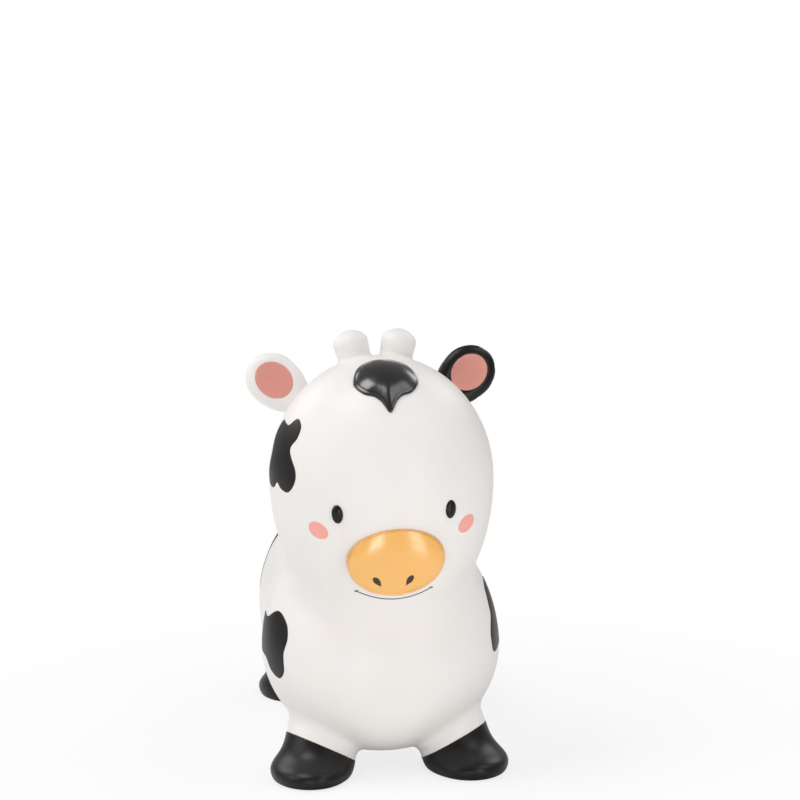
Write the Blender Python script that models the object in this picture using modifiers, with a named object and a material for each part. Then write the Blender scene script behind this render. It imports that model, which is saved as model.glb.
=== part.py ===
"""Bouncy ride-on cow: a hollow soft-PVC hopper with painted markings and a push-in air valve.

Metres, +Z up. The cow stands on the ground at z = 0 and looks along -Y, and its left is +X.
"""
import math
from collections import namedtuple

import bmesh
import bpy
import numpy as np
from mathutils import Matrix, Vector

# Head, an egg with its narrow end down
HEAD_Y = -0.1397
HEAD_Z = 0.285
HEAD_HALF_WIDTH = 0.1055
HEAD_HALF_DEPTH = 0.106
HEAD_RISE = 0.114
HEAD_DROP = 0.149

# Trunk, three eggs blended into one barrel
CHEST_Y = -0.0997
CHEST_Z = 0.115
CHEST_HALF_WIDTH = 0.114
CHEST_HALF_DEPTH = 0.098
CHEST_RISE = 0.13
CHEST_DROP = 0.092
BRISKET_Y = -0.1227
BRISKET_Z = 0.098
BRISKET_HALF_WIDTH = 0.0844
BRISKET_HALF_DEPTH = 0.070
BRISKET_RISE = 0.060
BRISKET_DROP = 0.0716
BARREL_Y = 0.0223
BARREL_Z = 0.115
BARREL_HALF_WIDTH = 0.105
BARREL_HALF_LENGTH = 0.15
BARREL_RISE = 0.095
BARREL_DROP = 0.083
RUMP_Y = 0.1303
RUMP_Z = 0.118
RUMP_HALF_WIDTH = 0.095
RUMP_HALF_LENGTH = 0.105
RUMP_RISE = 0.108
RUMP_DROP = 0.090
TRUNK_BLEND = 0.040
NECK_BLEND = 0.022

# Legs, which lean outwards and away from the belly, and hooves
LEG_HALF_WIDTH = 0.034
LEG_HALF_DEPTH = 0.034
LEG_RISE = 0.052
LEG_DROP = 0.050
LEG_Z = 0.035
LEG_SPLAY = math.radians(17)
LEG_RAKE = math.radians(31)
LEG_BLEND = 0.009
HOOF_HALF_WIDTH = 0.0372
HOOF_HALF_DEPTH = 0.050
HOOF_RISE = 0.0155
HOOF_DROP = 0.021
HOOF_Z = 0.0085
HOOF_BLEND = 0.020
FRONT_LEG_X = 0.062
FRONT_LEG_Y = -0.131
FRONT_HOOF_X = 0.0761
FRONT_HOOF_Y = -0.150
REAR_LEG_X = 0.052
REAR_LEG_Y = 0.166
REAR_HOOF_X = 0.060
REAR_HOOF_Y = 0.1853
SOLE_ROUNDING = 0.003
SOLE_FLAT_BELOW = 0.0008

# Horns
HORN_X = 0.023
HORN_Y = -0.1127
HORN_Z = 0.4092
HORN_HALF_WIDTH = 0.0165
HORN_HALF_DEPTH = 0.0155
HORN_RISE = 0.0110
HORN_DROP = 0.030
HORN_STEM_HALF_WIDTH = 0.0120
HORN_STEM_HALF_HEIGHT = 0.030
HORN_STEM_DROP = 0.020
HORN_LEAN = math.radians(13)
HORN_BLEND = 0.006

# Ears, cupped paddles that serve as handles
EAR_ROOT_X = 0.073
EAR_ROOT_Y = -0.0827
EAR_ROOT_Z = 0.3535
EAR_LENGTH = 0.056
EAR_HALF_WIDTH = 0.0250
EAR_HALF_THICKNESS = 0.009
EAR_RIM = 0.0095
EAR_CUP_DEPTH = 0.0065
EAR_CLIMB = math.radians(41)
EAR_SWEEP = math.radians(8)
EAR_NOD = math.radians(14)
EAR_BLEND = 0.012
EAR_CUP_BLEND = 0.004

# Tail, moulded in relief on the rump
TAIL_ROOT_Z = 0.185
TAIL_TUFT_Z = 0.122
TAIL_HALF_WIDTH = 0.008
TAIL_HALF_DEPTH = 0.008
TAIL_TUFT_HALF_WIDTH = 0.015
TAIL_TUFT_HALF_DEPTH = 0.010
TAIL_TUFT_HALF_LENGTH = 0.022
TAIL_BLEND = 0.008
TAIL_PAINT_MARGIN = 0.001

# Skin, its cavity and the coats of paint on it
WALL = 0.003
GAP = 0.0003
PAINT = 0.0005
SOLE_CLEARANCE = 0.0015
SKIN_VOXEL = 0.004
SKIN_TRIANGLES = 4000
CAVITY_VOXEL = 0.008
CAVITY_TRIANGLES = 1300

# Hoof paint, below a plane that dips towards the inner side and towards the belly
HOOF_LINE_Z = 0.0355
HOOF_LINE_DIP = math.radians(27)
HOOF_LINE_PITCH = math.radians(14)
HOOF_LINE_INNER_X = 0.012
HOOF_LINE_OUTER_X = 0.130
HOOF_LINE_REACH_Y = 0.075

# Muzzle, a raised pad with two nostrils
MUZZLE_Z = 0.2200
MUZZLE_HALF_WIDTH = 0.0460
MUZZLE_HALF_HEIGHT = 0.0350
MUZZLE_HALF_DEPTH = 0.020
MUZZLE_SINK = 0.011
MUZZLE_SQUARENESS = 2.4
MUZZLE_TIP_DOWN = math.radians(19)
NOSTRIL_X = 0.0149
NOSTRIL_SHIFT = -0.0025
NOSTRIL_DROP = 0.0150
NOSTRIL_HALF_WIDTH = 0.0034
NOSTRIL_HALF_HEIGHT = 0.0058
NOSTRIL_TURN = math.radians(37)
NOSTRIL_POCKET = 0.0012
NOSTRIL_FILL = 0.0008

# Mouth, a thin painted line
MOUTH_HALF_WIDTH = 0.0348
MOUTH_END_Z = 0.1915
MOUTH_MIDDLE_Z = 0.1828
MOUTH_LINE = 0.0014
MOUTH_STEPS = 12

# Eyes and cheeks
EYE_X = 0.052
EYE_Z = 0.2667
EYE_HALF_WIDTH = 0.0056
EYE_HALF_HEIGHT = 0.0086
EYE_HALF_DEPTH = 0.0030
EYE_SQUARENESS = 2.2
EYE_SIDES = 16
EYE_RINGS = 8
CHEEK_X = 0.0685
CHEEK_Z = 0.2500
CHEEK_HALF_WIDTH = 0.0110
CHEEK_HALF_HEIGHT = 0.0080
CHEEK_TURN = math.radians(20)

# Forelock, a raised dome that runs out to a point on the brow
FORELOCK_FACING = math.radians(63)
FORELOCK_HALF_WIDTH = 0.0300
FORELOCK_RISE = 0.0310
FORELOCK_DROP = 0.0432
FORELOCK_DOME_HALF_WIDTH = 0.045
FORELOCK_DOME_HALF_HEIGHT = 0.054
FORELOCK_DOME_HALF_DEPTH = 0.0345
FORELOCK_DOME_DROP = 0.003
FORELOCK_STAND = 0.0065
FORELOCK_RINGS = 24

# Ear paint
EAR_PAINT_START = 0.004
EAR_LINING_INSET = 0.0085

# Valve, a plug in a flanged seat that is moulded into the rump
VALVE_FACING = math.radians(-24)
VALVE_START_Z = 0.118
FLANGE_RADIUS = 0.0120
FLANGE_THICKNESS = 0.0016
FLANGE_SINK = 0.0026
SEAT_NECK_RADIUS = 0.0080
SEAT_LENGTH = 0.0150
SEAT_BORE_RADIUS = 0.0042
SEAT_LEAD_IN = 0.0008
BOSS_RADIUS = 0.0160
BOSS_DEPTH = 0.0105
PLUG_HEAD_RADIUS = 0.0085
PLUG_HEAD_THICKNESS = 0.0018
PLUG_STEM_LENGTH = 0.0200
PLUG_TIP_RADIUS = 0.0025
PLUG_GROOVE_DEPTH = 0.0006
PLUG_GROOVE_PITCH = 0.0050
PLUG_GROOVES = 3
TURNED_STEPS = 20

# Outlines, in shares of their half width and half height, as seen square on
BROW_PATCH_SHARES = (
    (0.31, 1.00), (0.64, 0.84), (0.68, 0.55), (0.51, 0.23), (0.90, -0.21), (0.90, -0.53),
    (0.62, -0.78), (0.25, -0.76), (-0.02, -0.63), (-0.30, -0.78), (-0.72, -0.74), (-1.00, -0.42),
    (-0.80, 0.02), (-0.94, 0.48), (-0.66, 0.86), (-0.28, 0.82), (0.00, 0.80),
)
FLANK_PATCH_SHARES = (
    (0.80, 0.34), (0.66, 0.76), (0.28, 1.00), (-0.22, 0.72), (-0.64, 0.78), (-1.00, 0.34),
    (-0.86, -0.24), (-0.48, -0.32), (-0.04, -0.42), (0.22, -0.72), (0.54, -0.86), (0.76, -0.60),
    (0.74, -0.10),
)
SHOULDER_PATCH_SHARES = (
    (-0.18, 0.88), (0.28, 1.00), (0.70, 0.76), (0.60, 0.28), (0.98, -0.08), (0.88, -0.58),
    (0.42, -0.68), (0.00, -0.44), (-0.38, -0.52), (-0.58, -0.54), (-0.70, -0.42), (-0.68, -0.08),
    (-0.43, 0.29), (-0.38, 0.49),
)
FORELOCK_SHARES = (
    (0.00, 1.00), (0.42, 0.92), (0.80, 0.60), (1.00, 0.02), (0.93, -0.24), (0.72, -0.44),
    (0.44, -0.55), (0.27, -0.67), (0.16, -0.82), (0.07, -0.96), (0.00, -1.00), (-0.07, -0.96),
    (-0.16, -0.82), (-0.27, -0.67), (-0.44, -0.55), (-0.72, -0.44), (-0.93, -0.24),
    (-1.00, 0.02), (-0.80, 0.60), (-0.42, 0.92),
)
NOSTRIL_SHARES = (
    (0.00, 1.00), (0.64, 0.80), (0.98, 0.30), (0.84, -0.20), (0.42, -0.66), (0.00, -1.00),
    (-0.42, -0.66), (-0.84, -0.20), (-0.98, 0.30), (-0.64, 0.80),
)
BROW_PATCH_HALF_SIZE = (0.0340, 0.0385)
FLANK_PATCH_HALF_SIZE = (0.0440, 0.0340)
SHOULDER_PATCH_HALF_SIZE = (0.0430, 0.0440)
NAPE_PATCH_HALF_SIZE = (0.0360, 0.0330)
HAUNCH_PATCH_HALF_SIZE = (0.0420, 0.0360)
PATCH_TURN = math.radians(100)
PATCH_REACH = 0.024
OUTLINE_STEPS = 3

# Colours and finishes
WHITE_PVC = (0.905, 0.895, 0.880)
BLACK_PAINT = (0.022, 0.021, 0.021)
ORANGE_PAINT = (0.960, 0.500, 0.110)
PINK_PAINT = (0.900, 0.330, 0.270)
BROWN_PAINT = (0.050, 0.030, 0.024)
CLEAR_PVC = (0.760, 0.760, 0.740)
GLOSS = 0.12
SMOOTH_SATIN = 0.32
CLEAR_SATIN = 0.35
SATIN = 0.38
SKIN_SATIN = 0.42
MATT = 0.50

SETTLE_STEPS = 6
SEEK_STEPS = 40
ELLIPSE = 2
EGG_SIDES = 32
EGG_RINGS = 16
OVAL_SIDES = 20
DOME_SIDES = 28
DOME_RINGS = 12
SLOPE_STEP = 0.0001
MERGE = 0.00001

Form = namedtuple("Form", "centre radii drop turn blend")


def turned(length_axis, facing):
    """Rows are a form's own axes: width, depth and length."""
    along = Vector(length_axis).normalized()
    front = Vector(facing)
    depth = -(front - along * front.dot(along)).normalized()
    width = depth.cross(along)
    return np.array([width, depth, along])


UPRIGHT = np.identity(3)


def egg(centre, half_width, half_depth, rise, drop, blend, turn=UPRIGHT):
    return Form(np.array(centre), np.array((half_width, half_depth, rise)), drop, turn, blend)


def trunk_forms():
    forms = [
        egg((0, BARREL_Y, BARREL_Z), BARREL_HALF_WIDTH, BARREL_HALF_LENGTH,
            BARREL_RISE, BARREL_DROP, 0),
        egg((0, CHEST_Y, CHEST_Z), CHEST_HALF_WIDTH, CHEST_HALF_DEPTH,
            CHEST_RISE, CHEST_DROP, TRUNK_BLEND),
        egg((0, RUMP_Y, RUMP_Z), RUMP_HALF_WIDTH, RUMP_HALF_LENGTH,
            RUMP_RISE, RUMP_DROP, TRUNK_BLEND),
        egg((0, BRISKET_Y, BRISKET_Z), BRISKET_HALF_WIDTH, BRISKET_HALF_DEPTH,
            BRISKET_RISE, BRISKET_DROP, TRUNK_BLEND),
        egg((0, HEAD_Y, HEAD_Z), HEAD_HALF_WIDTH, HEAD_HALF_DEPTH,
            HEAD_RISE, HEAD_DROP, NECK_BLEND),
    ]
    pairs = ((FRONT_LEG_X, FRONT_LEG_Y, FRONT_HOOF_X, FRONT_HOOF_Y, -1),
             (REAR_LEG_X, REAR_LEG_Y, REAR_HOOF_X, REAR_HOOF_Y, 1))
    for leg_x, leg_y, hoof_x, hoof_y, outwards in pairs:
        for side in (-1, 1):
            upwards = (-side * math.tan(LEG_SPLAY), -outwards * math.tan(LEG_RAKE), 1)
            forms.append(egg((side * leg_x, leg_y, LEG_Z), LEG_HALF_WIDTH, LEG_HALF_DEPTH,
                             LEG_RISE, LEG_DROP, LEG_BLEND, turned(upwards, (0, -1, 0))))
            forms.append(egg((side * hoof_x, hoof_y, HOOF_Z), HOOF_HALF_WIDTH, HOOF_HALF_DEPTH,
                             HOOF_RISE, HOOF_DROP, HOOF_BLEND))
    return forms


def ear_axes(side):
    """The ear's length axis and the way that its cup faces."""
    along = Vector((side * math.cos(EAR_CLIMB), math.sin(EAR_SWEEP), math.sin(EAR_CLIMB)))
    facing = Vector((side * math.sin(EAR_SWEEP), -1, math.sin(EAR_NOD)))
    return along.normalized(), facing.normalized()


def ear_middle(side):
    along, facing = ear_axes(side)
    return Vector((side * EAR_ROOT_X, EAR_ROOT_Y, EAR_ROOT_Z)) + along * EAR_LENGTH / 2


def horn_forms():
    forms = []
    for side in (-1, 1):
        lean = Vector((side * math.sin(HORN_LEAN), 0, math.cos(HORN_LEAN)))
        turn = turned(lean, (0, -1, 0))
        knob = Vector((side * HORN_X, HORN_Y, HORN_Z))
        forms.append(egg(knob - lean * HORN_STEM_DROP, HORN_STEM_HALF_WIDTH,
                         HORN_STEM_HALF_WIDTH, HORN_STEM_HALF_HEIGHT, HORN_STEM_HALF_HEIGHT,
                         HORN_BLEND, turn))
        forms.append(egg(knob, HORN_HALF_WIDTH, HORN_HALF_DEPTH, HORN_RISE, HORN_DROP,
                         HORN_BLEND, turn))
    return forms


def ear_forms():
    forms = []
    for side in (-1, 1):
        along, facing = ear_axes(side)
        forms.append(egg(ear_middle(side), EAR_HALF_WIDTH, EAR_HALF_THICKNESS,
                         EAR_LENGTH / 2, EAR_LENGTH / 2 + EAR_RIM, EAR_BLEND, turned(along, facing)))
    return forms


def ear_cups():
    """The hollows that are pressed into the front of the ears."""
    cups = []
    for side in (-1, 1):
        along, facing = ear_axes(side)
        centre = ear_middle(side) + facing * EAR_HALF_THICKNESS
        cups.append(egg(centre, EAR_HALF_WIDTH - EAR_RIM, EAR_CUP_DEPTH,
                        EAR_LENGTH / 2 - EAR_RIM, EAR_LENGTH / 2, EAR_CUP_BLEND,
                        turned(along, facing)))
    return cups


def rump_back_y(z):
    """How far back the rump's own egg reaches at one height."""
    half_height = RUMP_RISE if z > RUMP_Z else RUMP_DROP
    return RUMP_Y + RUMP_HALF_LENGTH * math.sqrt(1 - ((z - RUMP_Z) / half_height) ** 2)


def tail_forms():
    root = Vector((0, rump_back_y(TAIL_ROOT_Z), TAIL_ROOT_Z))
    tuft = Vector((0, rump_back_y(TAIL_TUFT_Z), TAIL_TUFT_Z))
    turn = turned(root - tuft, (0, 1, 0))
    half_length = (root - tuft).length / 2
    return [
        egg((root + tuft) / 2, TAIL_HALF_WIDTH, TAIL_HALF_DEPTH, half_length, half_length,
            TAIL_BLEND, turn),
        egg(tuft, TAIL_TUFT_HALF_WIDTH, TAIL_TUFT_HALF_DEPTH, TAIL_TUFT_HALF_LENGTH,
            TAIL_TUFT_HALF_LENGTH, TAIL_BLEND, turn),
    ]


def smooth_least(first, second, blend):
    """The lesser of two values, with the corner between them rounded over."""
    if not blend:
        return np.minimum(first, second)
    share = np.maximum(blend - np.abs(first - second), 0) / blend
    return np.minimum(first, second) - share * share * blend / 4


def height_over_form(points, form):
    """Height over an egg's surface: below zero inside, close to a distance near the surface."""
    local = (points - form.centre) @ form.turn.T
    radii = np.tile(form.radii, (len(points), 1))
    radii[local[:, 2] < 0, 2] = form.drop
    scaled = local / radii
    reach = np.linalg.norm(scaled, axis=1)
    slope = np.linalg.norm(scaled / radii, axis=1)
    return reach * (reach - 1) / np.maximum(slope, SLOPE_STEP)


def height_over_skin(points, forms, cups):
    """Height over the blended moulding, which the ground cuts flat under the hooves."""
    height = height_over_form(points, forms[0])
    for form in forms[1:]:
        height = smooth_least(height, height_over_form(points, form), form.blend)
    for cup in cups:
        height = -smooth_least(-height, height_over_form(points, cup), cup.blend)
    return -smooth_least(-height, points[:, 2], SOLE_ROUNDING)


def rise_and_normals(points, forms, cups):
    height = height_over_skin(points, forms, cups)
    slopes = np.empty_like(points)
    for axis in range(3):
        step = np.zeros(3)
        step[axis] = SLOPE_STEP
        ahead = height_over_skin(points + step, forms, cups)
        behind = height_over_skin(points - step, forms, cups)
        slopes[:, axis] = (ahead - behind) / (2 * SLOPE_STEP)
    return height, slopes


def settle(points, forms, cups, level):
    """Slides points along the slope until they lie at one height over the moulding."""
    for _ in range(SETTLE_STEPS):
        height, slopes = rise_and_normals(points, forms, cups)
        steepness = np.maximum((slopes * slopes).sum(axis=1), SLOPE_STEP)
        points = points - slopes * ((height - level) / steepness)[:, None]
    return points


def lay_flat(mesh):
    """Puts what is all but on the ground right on it, so that the soles are true planes."""
    points = mesh_points(mesh)
    points[points[:, 2] < SOLE_FLAT_BELOW, 2] = 0
    move_points(mesh, points)


def link(name, mesh, collection):
    piece = bpy.data.objects.new(name, mesh)
    collection.objects.link(piece)
    return piece


def evaluated_mesh(piece):
    """The mesh of an object with its modifiers applied."""
    graph = bpy.context.evaluated_depsgraph_get()
    graph.update()
    return bpy.data.meshes.new_from_object(piece.evaluated_get(graph), depsgraph=graph)


def apply_modifiers(piece):
    mesh = evaluated_mesh(piece)
    piece.modifiers.clear()
    old = piece.data
    piece.data = mesh
    bpy.data.meshes.remove(old)


def rough_cast(name, forms, collection):
    """All the eggs as spheres in one mesh, not yet joined."""
    mesh = bpy.data.meshes.new(name)
    shape = bmesh.new()
    for form in forms:
        made = bmesh.ops.create_uvsphere(shape, u_segments=EGG_SIDES, v_segments=EGG_RINGS, radius=1)
        width, depth, rise = form.radii
        for vert in made["verts"]:
            height = rise if vert.co.z > 0 else form.drop
            local = np.array((vert.co.x * width, vert.co.y * depth, vert.co.z * height))
            vert.co = Vector(form.centre + local @ form.turn)
    shape.to_mesh(mesh)
    shape.free()
    return link(name, mesh, collection)


def mesh_points(mesh):
    points = np.empty(len(mesh.vertices) * 3)
    mesh.vertices.foreach_get("co", points)
    return points.reshape(-1, 3)


def move_points(mesh, points):
    mesh.vertices.foreach_set("co", points.ravel())
    mesh.update()


def moulded(name, forms, cups, level, voxel, triangles, collection):
    """Forms joined into one closed skin at a height over the moulding's outer face."""
    piece = rough_cast(name, forms, collection)
    for _ in range(2):
        remesh = piece.modifiers.new("join", "REMESH")
        remesh.mode = "VOXEL"
        remesh.voxel_size = voxel
        apply_modifiers(piece)
        move_points(piece.data, settle(mesh_points(piece.data), forms, cups, level))
    faces = sum(len(face.vertices) - 2 for face in piece.data.polygons)
    decimate = piece.modifiers.new("thin", "DECIMATE")
    decimate.ratio = triangles / faces
    decimate.use_collapse_triangulate = True
    apply_modifiers(piece)
    move_points(piece.data, settle(mesh_points(piece.data), forms, cups, level))
    return piece


def skin_point(start, direction, forms):
    """Where a straight line that starts inside the moulding leaves it."""
    along = Vector(direction).normalized()
    travel = 0.0
    for _ in range(SEEK_STEPS):
        place = np.array([Vector(start) + along * travel])
        travel -= height_over_skin(place, forms, [])[0]
    return Vector(start) + along * travel


def facing_matrix(place, facing, turn=0.0):
    """A frame at a place, +Z along facing, +Y up the surface, turned about +Z."""
    out = Vector(facing).normalized()
    across = Vector((0, 0, 1)).cross(out).normalized()
    up = out.cross(across)
    frame = Matrix((across, up, out)).transposed().to_4x4()
    return Matrix.Translation(place) @ frame @ Matrix.Rotation(turn, 4, "Z")


def offset_copy(name, source, forms, cups, level, collection):
    """The skin's outer face moved outwards, with the same facets."""
    piece = link(name, source.data.copy(), collection)
    points = mesh_points(piece.data)
    _, slopes = rise_and_normals(points, forms, cups)
    slopes /= np.linalg.norm(slopes, axis=1)[:, None]
    move_points(piece.data, points + slopes * level)
    return piece


def cut(piece, cutter, operation):
    """One exact Boolean, applied."""
    modifier = piece.modifiers.new(operation.lower(), "BOOLEAN")
    modifier.operation = operation
    modifier.solver = "EXACT"
    modifier.object = cutter
    apply_modifiers(piece)


def duplicate(name, piece, collection):
    copy = link(name, piece.data.copy(), collection)
    copy.matrix_world = piece.matrix_world.copy()
    return copy


def outline_prism(name, matrix, outline, half_depth, collection, smooth=True):
    """A closed 2D curve made solid, half of it on each side of its own plane."""
    curve = bpy.data.curves.new(name, "CURVE")
    curve.dimensions = "2D"
    curve.fill_mode = "BOTH"
    curve.extrude = half_depth
    curve.resolution_u = OUTLINE_STEPS
    spline = curve.splines.new("BEZIER" if smooth else "POLY")
    spline.use_cyclic_u = True
    points = spline.bezier_points if smooth else spline.points
    points.add(len(outline) - 1)
    for point, (across, up) in zip(points, outline):
        if smooth:
            point.co = (across, up, 0)
            point.handle_left_type = "AUTO"
            point.handle_right_type = "AUTO"
        else:
            point.co = (across, up, 0, 1)
    guide = bpy.data.objects.new(name, curve)
    collection.objects.link(guide)
    guide.matrix_world = matrix
    mesh = evaluated_mesh(guide)
    shape = bmesh.new()
    shape.from_mesh(mesh)
    bmesh.ops.remove_doubles(shape, verts=shape.verts, dist=MERGE)
    shape.to_mesh(mesh)
    shape.free()
    bpy.data.objects.remove(guide)
    prism = link(name, mesh, collection)
    prism.matrix_world = matrix
    return prism


def oval_outline(half_width, half_height):
    return [(half_width * math.cos(turn), half_height * math.sin(turn))
            for turn in (step * math.tau / OVAL_SIDES for step in range(OVAL_SIDES))]


def box(name, matrix, size, collection):
    mesh = bpy.data.meshes.new(name)
    shape = bmesh.new()
    bmesh.ops.create_cube(shape, size=1, matrix=matrix @ Matrix.Diagonal((*size, 1)))
    shape.to_mesh(mesh)
    shape.free()
    return link(name, mesh, collection)


def dome(name, matrix, half_width, half_height, half_depth, squareness, collection,
         sides=DOME_SIDES, rings=DOME_RINGS):
    """A sphere drawn out to three sizes, with fuller sides as squareness goes over ELLIPSE."""
    mesh = bpy.data.meshes.new(name)
    shape = bmesh.new()
    bmesh.ops.create_uvsphere(shape, u_segments=sides, v_segments=rings, radius=1)
    for vert in shape.verts:
        ring = math.hypot(vert.co.x, vert.co.y)
        wider = ring ** (ELLIPSE / squareness - 1) if ring else 0
        height = math.copysign(abs(vert.co.z) ** (ELLIPSE / squareness), vert.co.z)
        vert.co = (vert.co.x * wider * half_width, vert.co.y * wider * half_height,
                   height * half_depth)
    shape.to_mesh(mesh)
    shape.free()
    piece = link(name, mesh, collection)
    piece.matrix_world = matrix
    return piece


def turned_piece(name, profile, matrix, collection):
    """A profile of (radius, height) points, from the top down its outer side, spun round."""
    mesh = bpy.data.meshes.new(name)
    edges = [(index, index + 1) for index in range(len(profile) - 1)]
    if profile[0][0] and profile[-1][0]:
        edges.append((len(profile) - 1, 0))
    mesh.from_pydata([(radius, 0, height) for radius, height in profile], edges, [])
    piece = link(name, mesh, collection)
    spin = piece.modifiers.new("spin", "SCREW")
    spin.axis = "Z"
    spin.steps = TURNED_STEPS
    spin.render_steps = TURNED_STEPS
    spin.use_merge_vertices = True
    spin.merge_threshold = MERGE
    piece.matrix_world = matrix
    return piece


def material(name, colour, roughness, metallic=0.0):
    made = bpy.data.materials.get(name)
    if made:
        return made
    made = bpy.data.materials.new(name)
    made.use_nodes = True
    shader = made.node_tree.nodes["Principled BSDF"]
    shader.inputs["Base Color"].default_value = (*colour, 1)
    shader.inputs["Roughness"].default_value = roughness
    shader.inputs["Metallic"].default_value = metallic
    return made


def finish(piece, made):
    piece.data.materials.clear()
    piece.data.materials.append(made)
    piece.data.shade_smooth()


def plug_matrix(forms):
    facing = Vector((0, math.cos(VALVE_FACING), math.sin(VALVE_FACING)))
    place = skin_point((0, RUMP_Y, VALVE_START_Z), facing, forms)
    return facing_matrix(place, facing)


def valve_cutters(matrix, cutters):
    """The recess for the flange, the bore for the neck and the boss that carries them."""
    reach = SEAT_LENGTH + BOSS_DEPTH
    recess = turned_piece("recess", [
        (0, reach), (FLANGE_RADIUS + GAP, reach), (FLANGE_RADIUS + GAP, -FLANGE_SINK),
        (0, -FLANGE_SINK)], matrix, cutters)
    bore = turned_piece("bore", [
        (0, reach), (SEAT_NECK_RADIUS + GAP, reach), (SEAT_NECK_RADIUS + GAP, -reach),
        (0, -reach)], matrix, cutters)
    boss = turned_piece("boss", [
        (0, reach), (BOSS_RADIUS, reach), (BOSS_RADIUS, -BOSS_DEPTH), (0, -BOSS_DEPTH)],
        matrix, cutters)
    return recess, bore, boss


def valve_seat(matrix, parts):
    top = -FLANGE_SINK + GAP + FLANGE_THICKNESS
    neck_top = -FLANGE_SINK + GAP
    foot = top - SEAT_LENGTH
    piece = turned_piece("valve_seat", [
        (SEAT_BORE_RADIUS + SEAT_LEAD_IN, top), (FLANGE_RADIUS, top), (FLANGE_RADIUS, neck_top),
        (SEAT_NECK_RADIUS, neck_top), (SEAT_NECK_RADIUS, foot + SEAT_LEAD_IN),
        (SEAT_NECK_RADIUS - SEAT_LEAD_IN, foot), (SEAT_BORE_RADIUS, foot),
        (SEAT_BORE_RADIUS, top - SEAT_LEAD_IN)], matrix, parts)
    finish(piece, material("clear_pvc", CLEAR_PVC, CLEAR_SATIN))
    return piece


def valve_plug(matrix, parts):
    seat_top = -FLANGE_SINK + GAP + FLANGE_THICKNESS
    under = seat_top + GAP
    stem = SEAT_BORE_RADIUS - GAP
    top = under + PLUG_HEAD_THICKNESS
    profile = [(0, top), (PLUG_HEAD_RADIUS - PLUG_GROOVE_DEPTH, top),
               (PLUG_HEAD_RADIUS, top - PLUG_GROOVE_DEPTH), (PLUG_HEAD_RADIUS, under),
               (stem, under)]
    for groove in range(1, PLUG_GROOVES + 1):
        middle = under - groove * PLUG_GROOVE_PITCH
        profile += [(stem, middle + PLUG_GROOVE_DEPTH), (stem - PLUG_GROOVE_DEPTH, middle),
                    (stem, middle - PLUG_GROOVE_DEPTH)]
    foot = under - PLUG_STEM_LENGTH
    profile += [(stem, foot + PLUG_TIP_RADIUS), (PLUG_TIP_RADIUS, foot), (0, foot)]
    piece = turned_piece("valve_plug", profile, matrix, parts)
    finish(piece, material("clear_pvc", CLEAR_PVC, CLEAR_SATIN))
    return piece


def body_skin(parts, cutters):
    """The one-piece hollow moulding, with its outer face kept for the paint."""
    forms = trunk_forms() + horn_forms() + ear_forms() + tail_forms()
    cups = ear_cups()
    outer = moulded("outer", forms, cups, 0, SKIN_VOXEL, SKIN_TRIANGLES, cutters)
    lay_flat(outer.data)
    cavity = moulded("cavity", trunk_forms(), [], -WALL, CAVITY_VOXEL, CAVITY_TRIANGLES, cutters)
    matrix = plug_matrix(forms)
    recess, bore, boss = valve_cutters(matrix, cutters)
    cut(cavity, boss, "DIFFERENCE")
    piece = duplicate("body_skin", outer, parts)
    for cutter in (cavity, recess, bore):
        cut(piece, cutter, "DIFFERENCE")
    finish(piece, material("white_pvc", WHITE_PVC, SKIN_SATIN))
    return piece, outer, forms, cups, matrix


def paint_faces(outer, forms, cups, cutters):
    """The outer and the inner face of all paint, as two solids; the soles stay bare."""
    over = offset_copy("over_paint", outer, forms, cups, GAP + PAINT, cutters)
    under = offset_copy("under_paint", outer, forms, cups, GAP, cutters)
    width, length, _ = outer.dimensions
    slab = box("sole_slab", Matrix.Translation((0, 0, SOLE_CLEARANCE - width / 2)),
               (2 * width, 2 * length, width), cutters)
    cut(over, slab, "DIFFERENCE")
    return over, under


def coat(name, faces, keep, made, parts, remove=None):
    """A coat of paint: what a cutter takes in between the two faces of the paint."""
    over, under = faces
    piece = duplicate(name, over, parts)
    cut(piece, keep, "INTERSECT")
    if remove:
        cut(piece, remove, "DIFFERENCE")
    cut(piece, under, "DIFFERENCE")
    finish(piece, made)
    return piece


def hoof_coats(faces, parts, cutters):
    made = material("black_paint", BLACK_PAINT, SATIN)
    pairs = (("front", FRONT_HOOF_X, FRONT_HOOF_Y, -1), ("rear", REAR_HOOF_X, REAR_HOOF_Y, 1))
    height = HOOF_LINE_Z * 2
    width = HOOF_LINE_OUTER_X - HOOF_LINE_INNER_X
    for place, hoof_x, hoof_y, outwards in pairs:
        for side, hand in ((-1, "right"), (1, "left")):
            middle = side * (HOOF_LINE_OUTER_X + HOOF_LINE_INNER_X) / 2
            lift = HOOF_LINE_Z + (abs(middle) - hoof_x) * math.tan(HOOF_LINE_DIP)
            matrix = Matrix.Translation((middle, hoof_y, lift))
            matrix[2][0] = side * math.tan(HOOF_LINE_DIP)
            matrix[2][1] = outwards * math.tan(HOOF_LINE_PITCH)
            matrix = matrix @ Matrix.Translation((0, 0, -height))
            zone = box(f"hoof_zone_{place}_{hand}", matrix,
                       (width, 2 * HOOF_LINE_REACH_Y, 2 * height), cutters)
            coat(f"hoof_{place}_{hand}", faces, zone, made, parts)


def patch_outline(shares, half_size, mirrored=False):
    flip = -1 if mirrored else 1
    return [(flip * across * half_size[0], up * half_size[1]) for across, up in shares]


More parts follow.
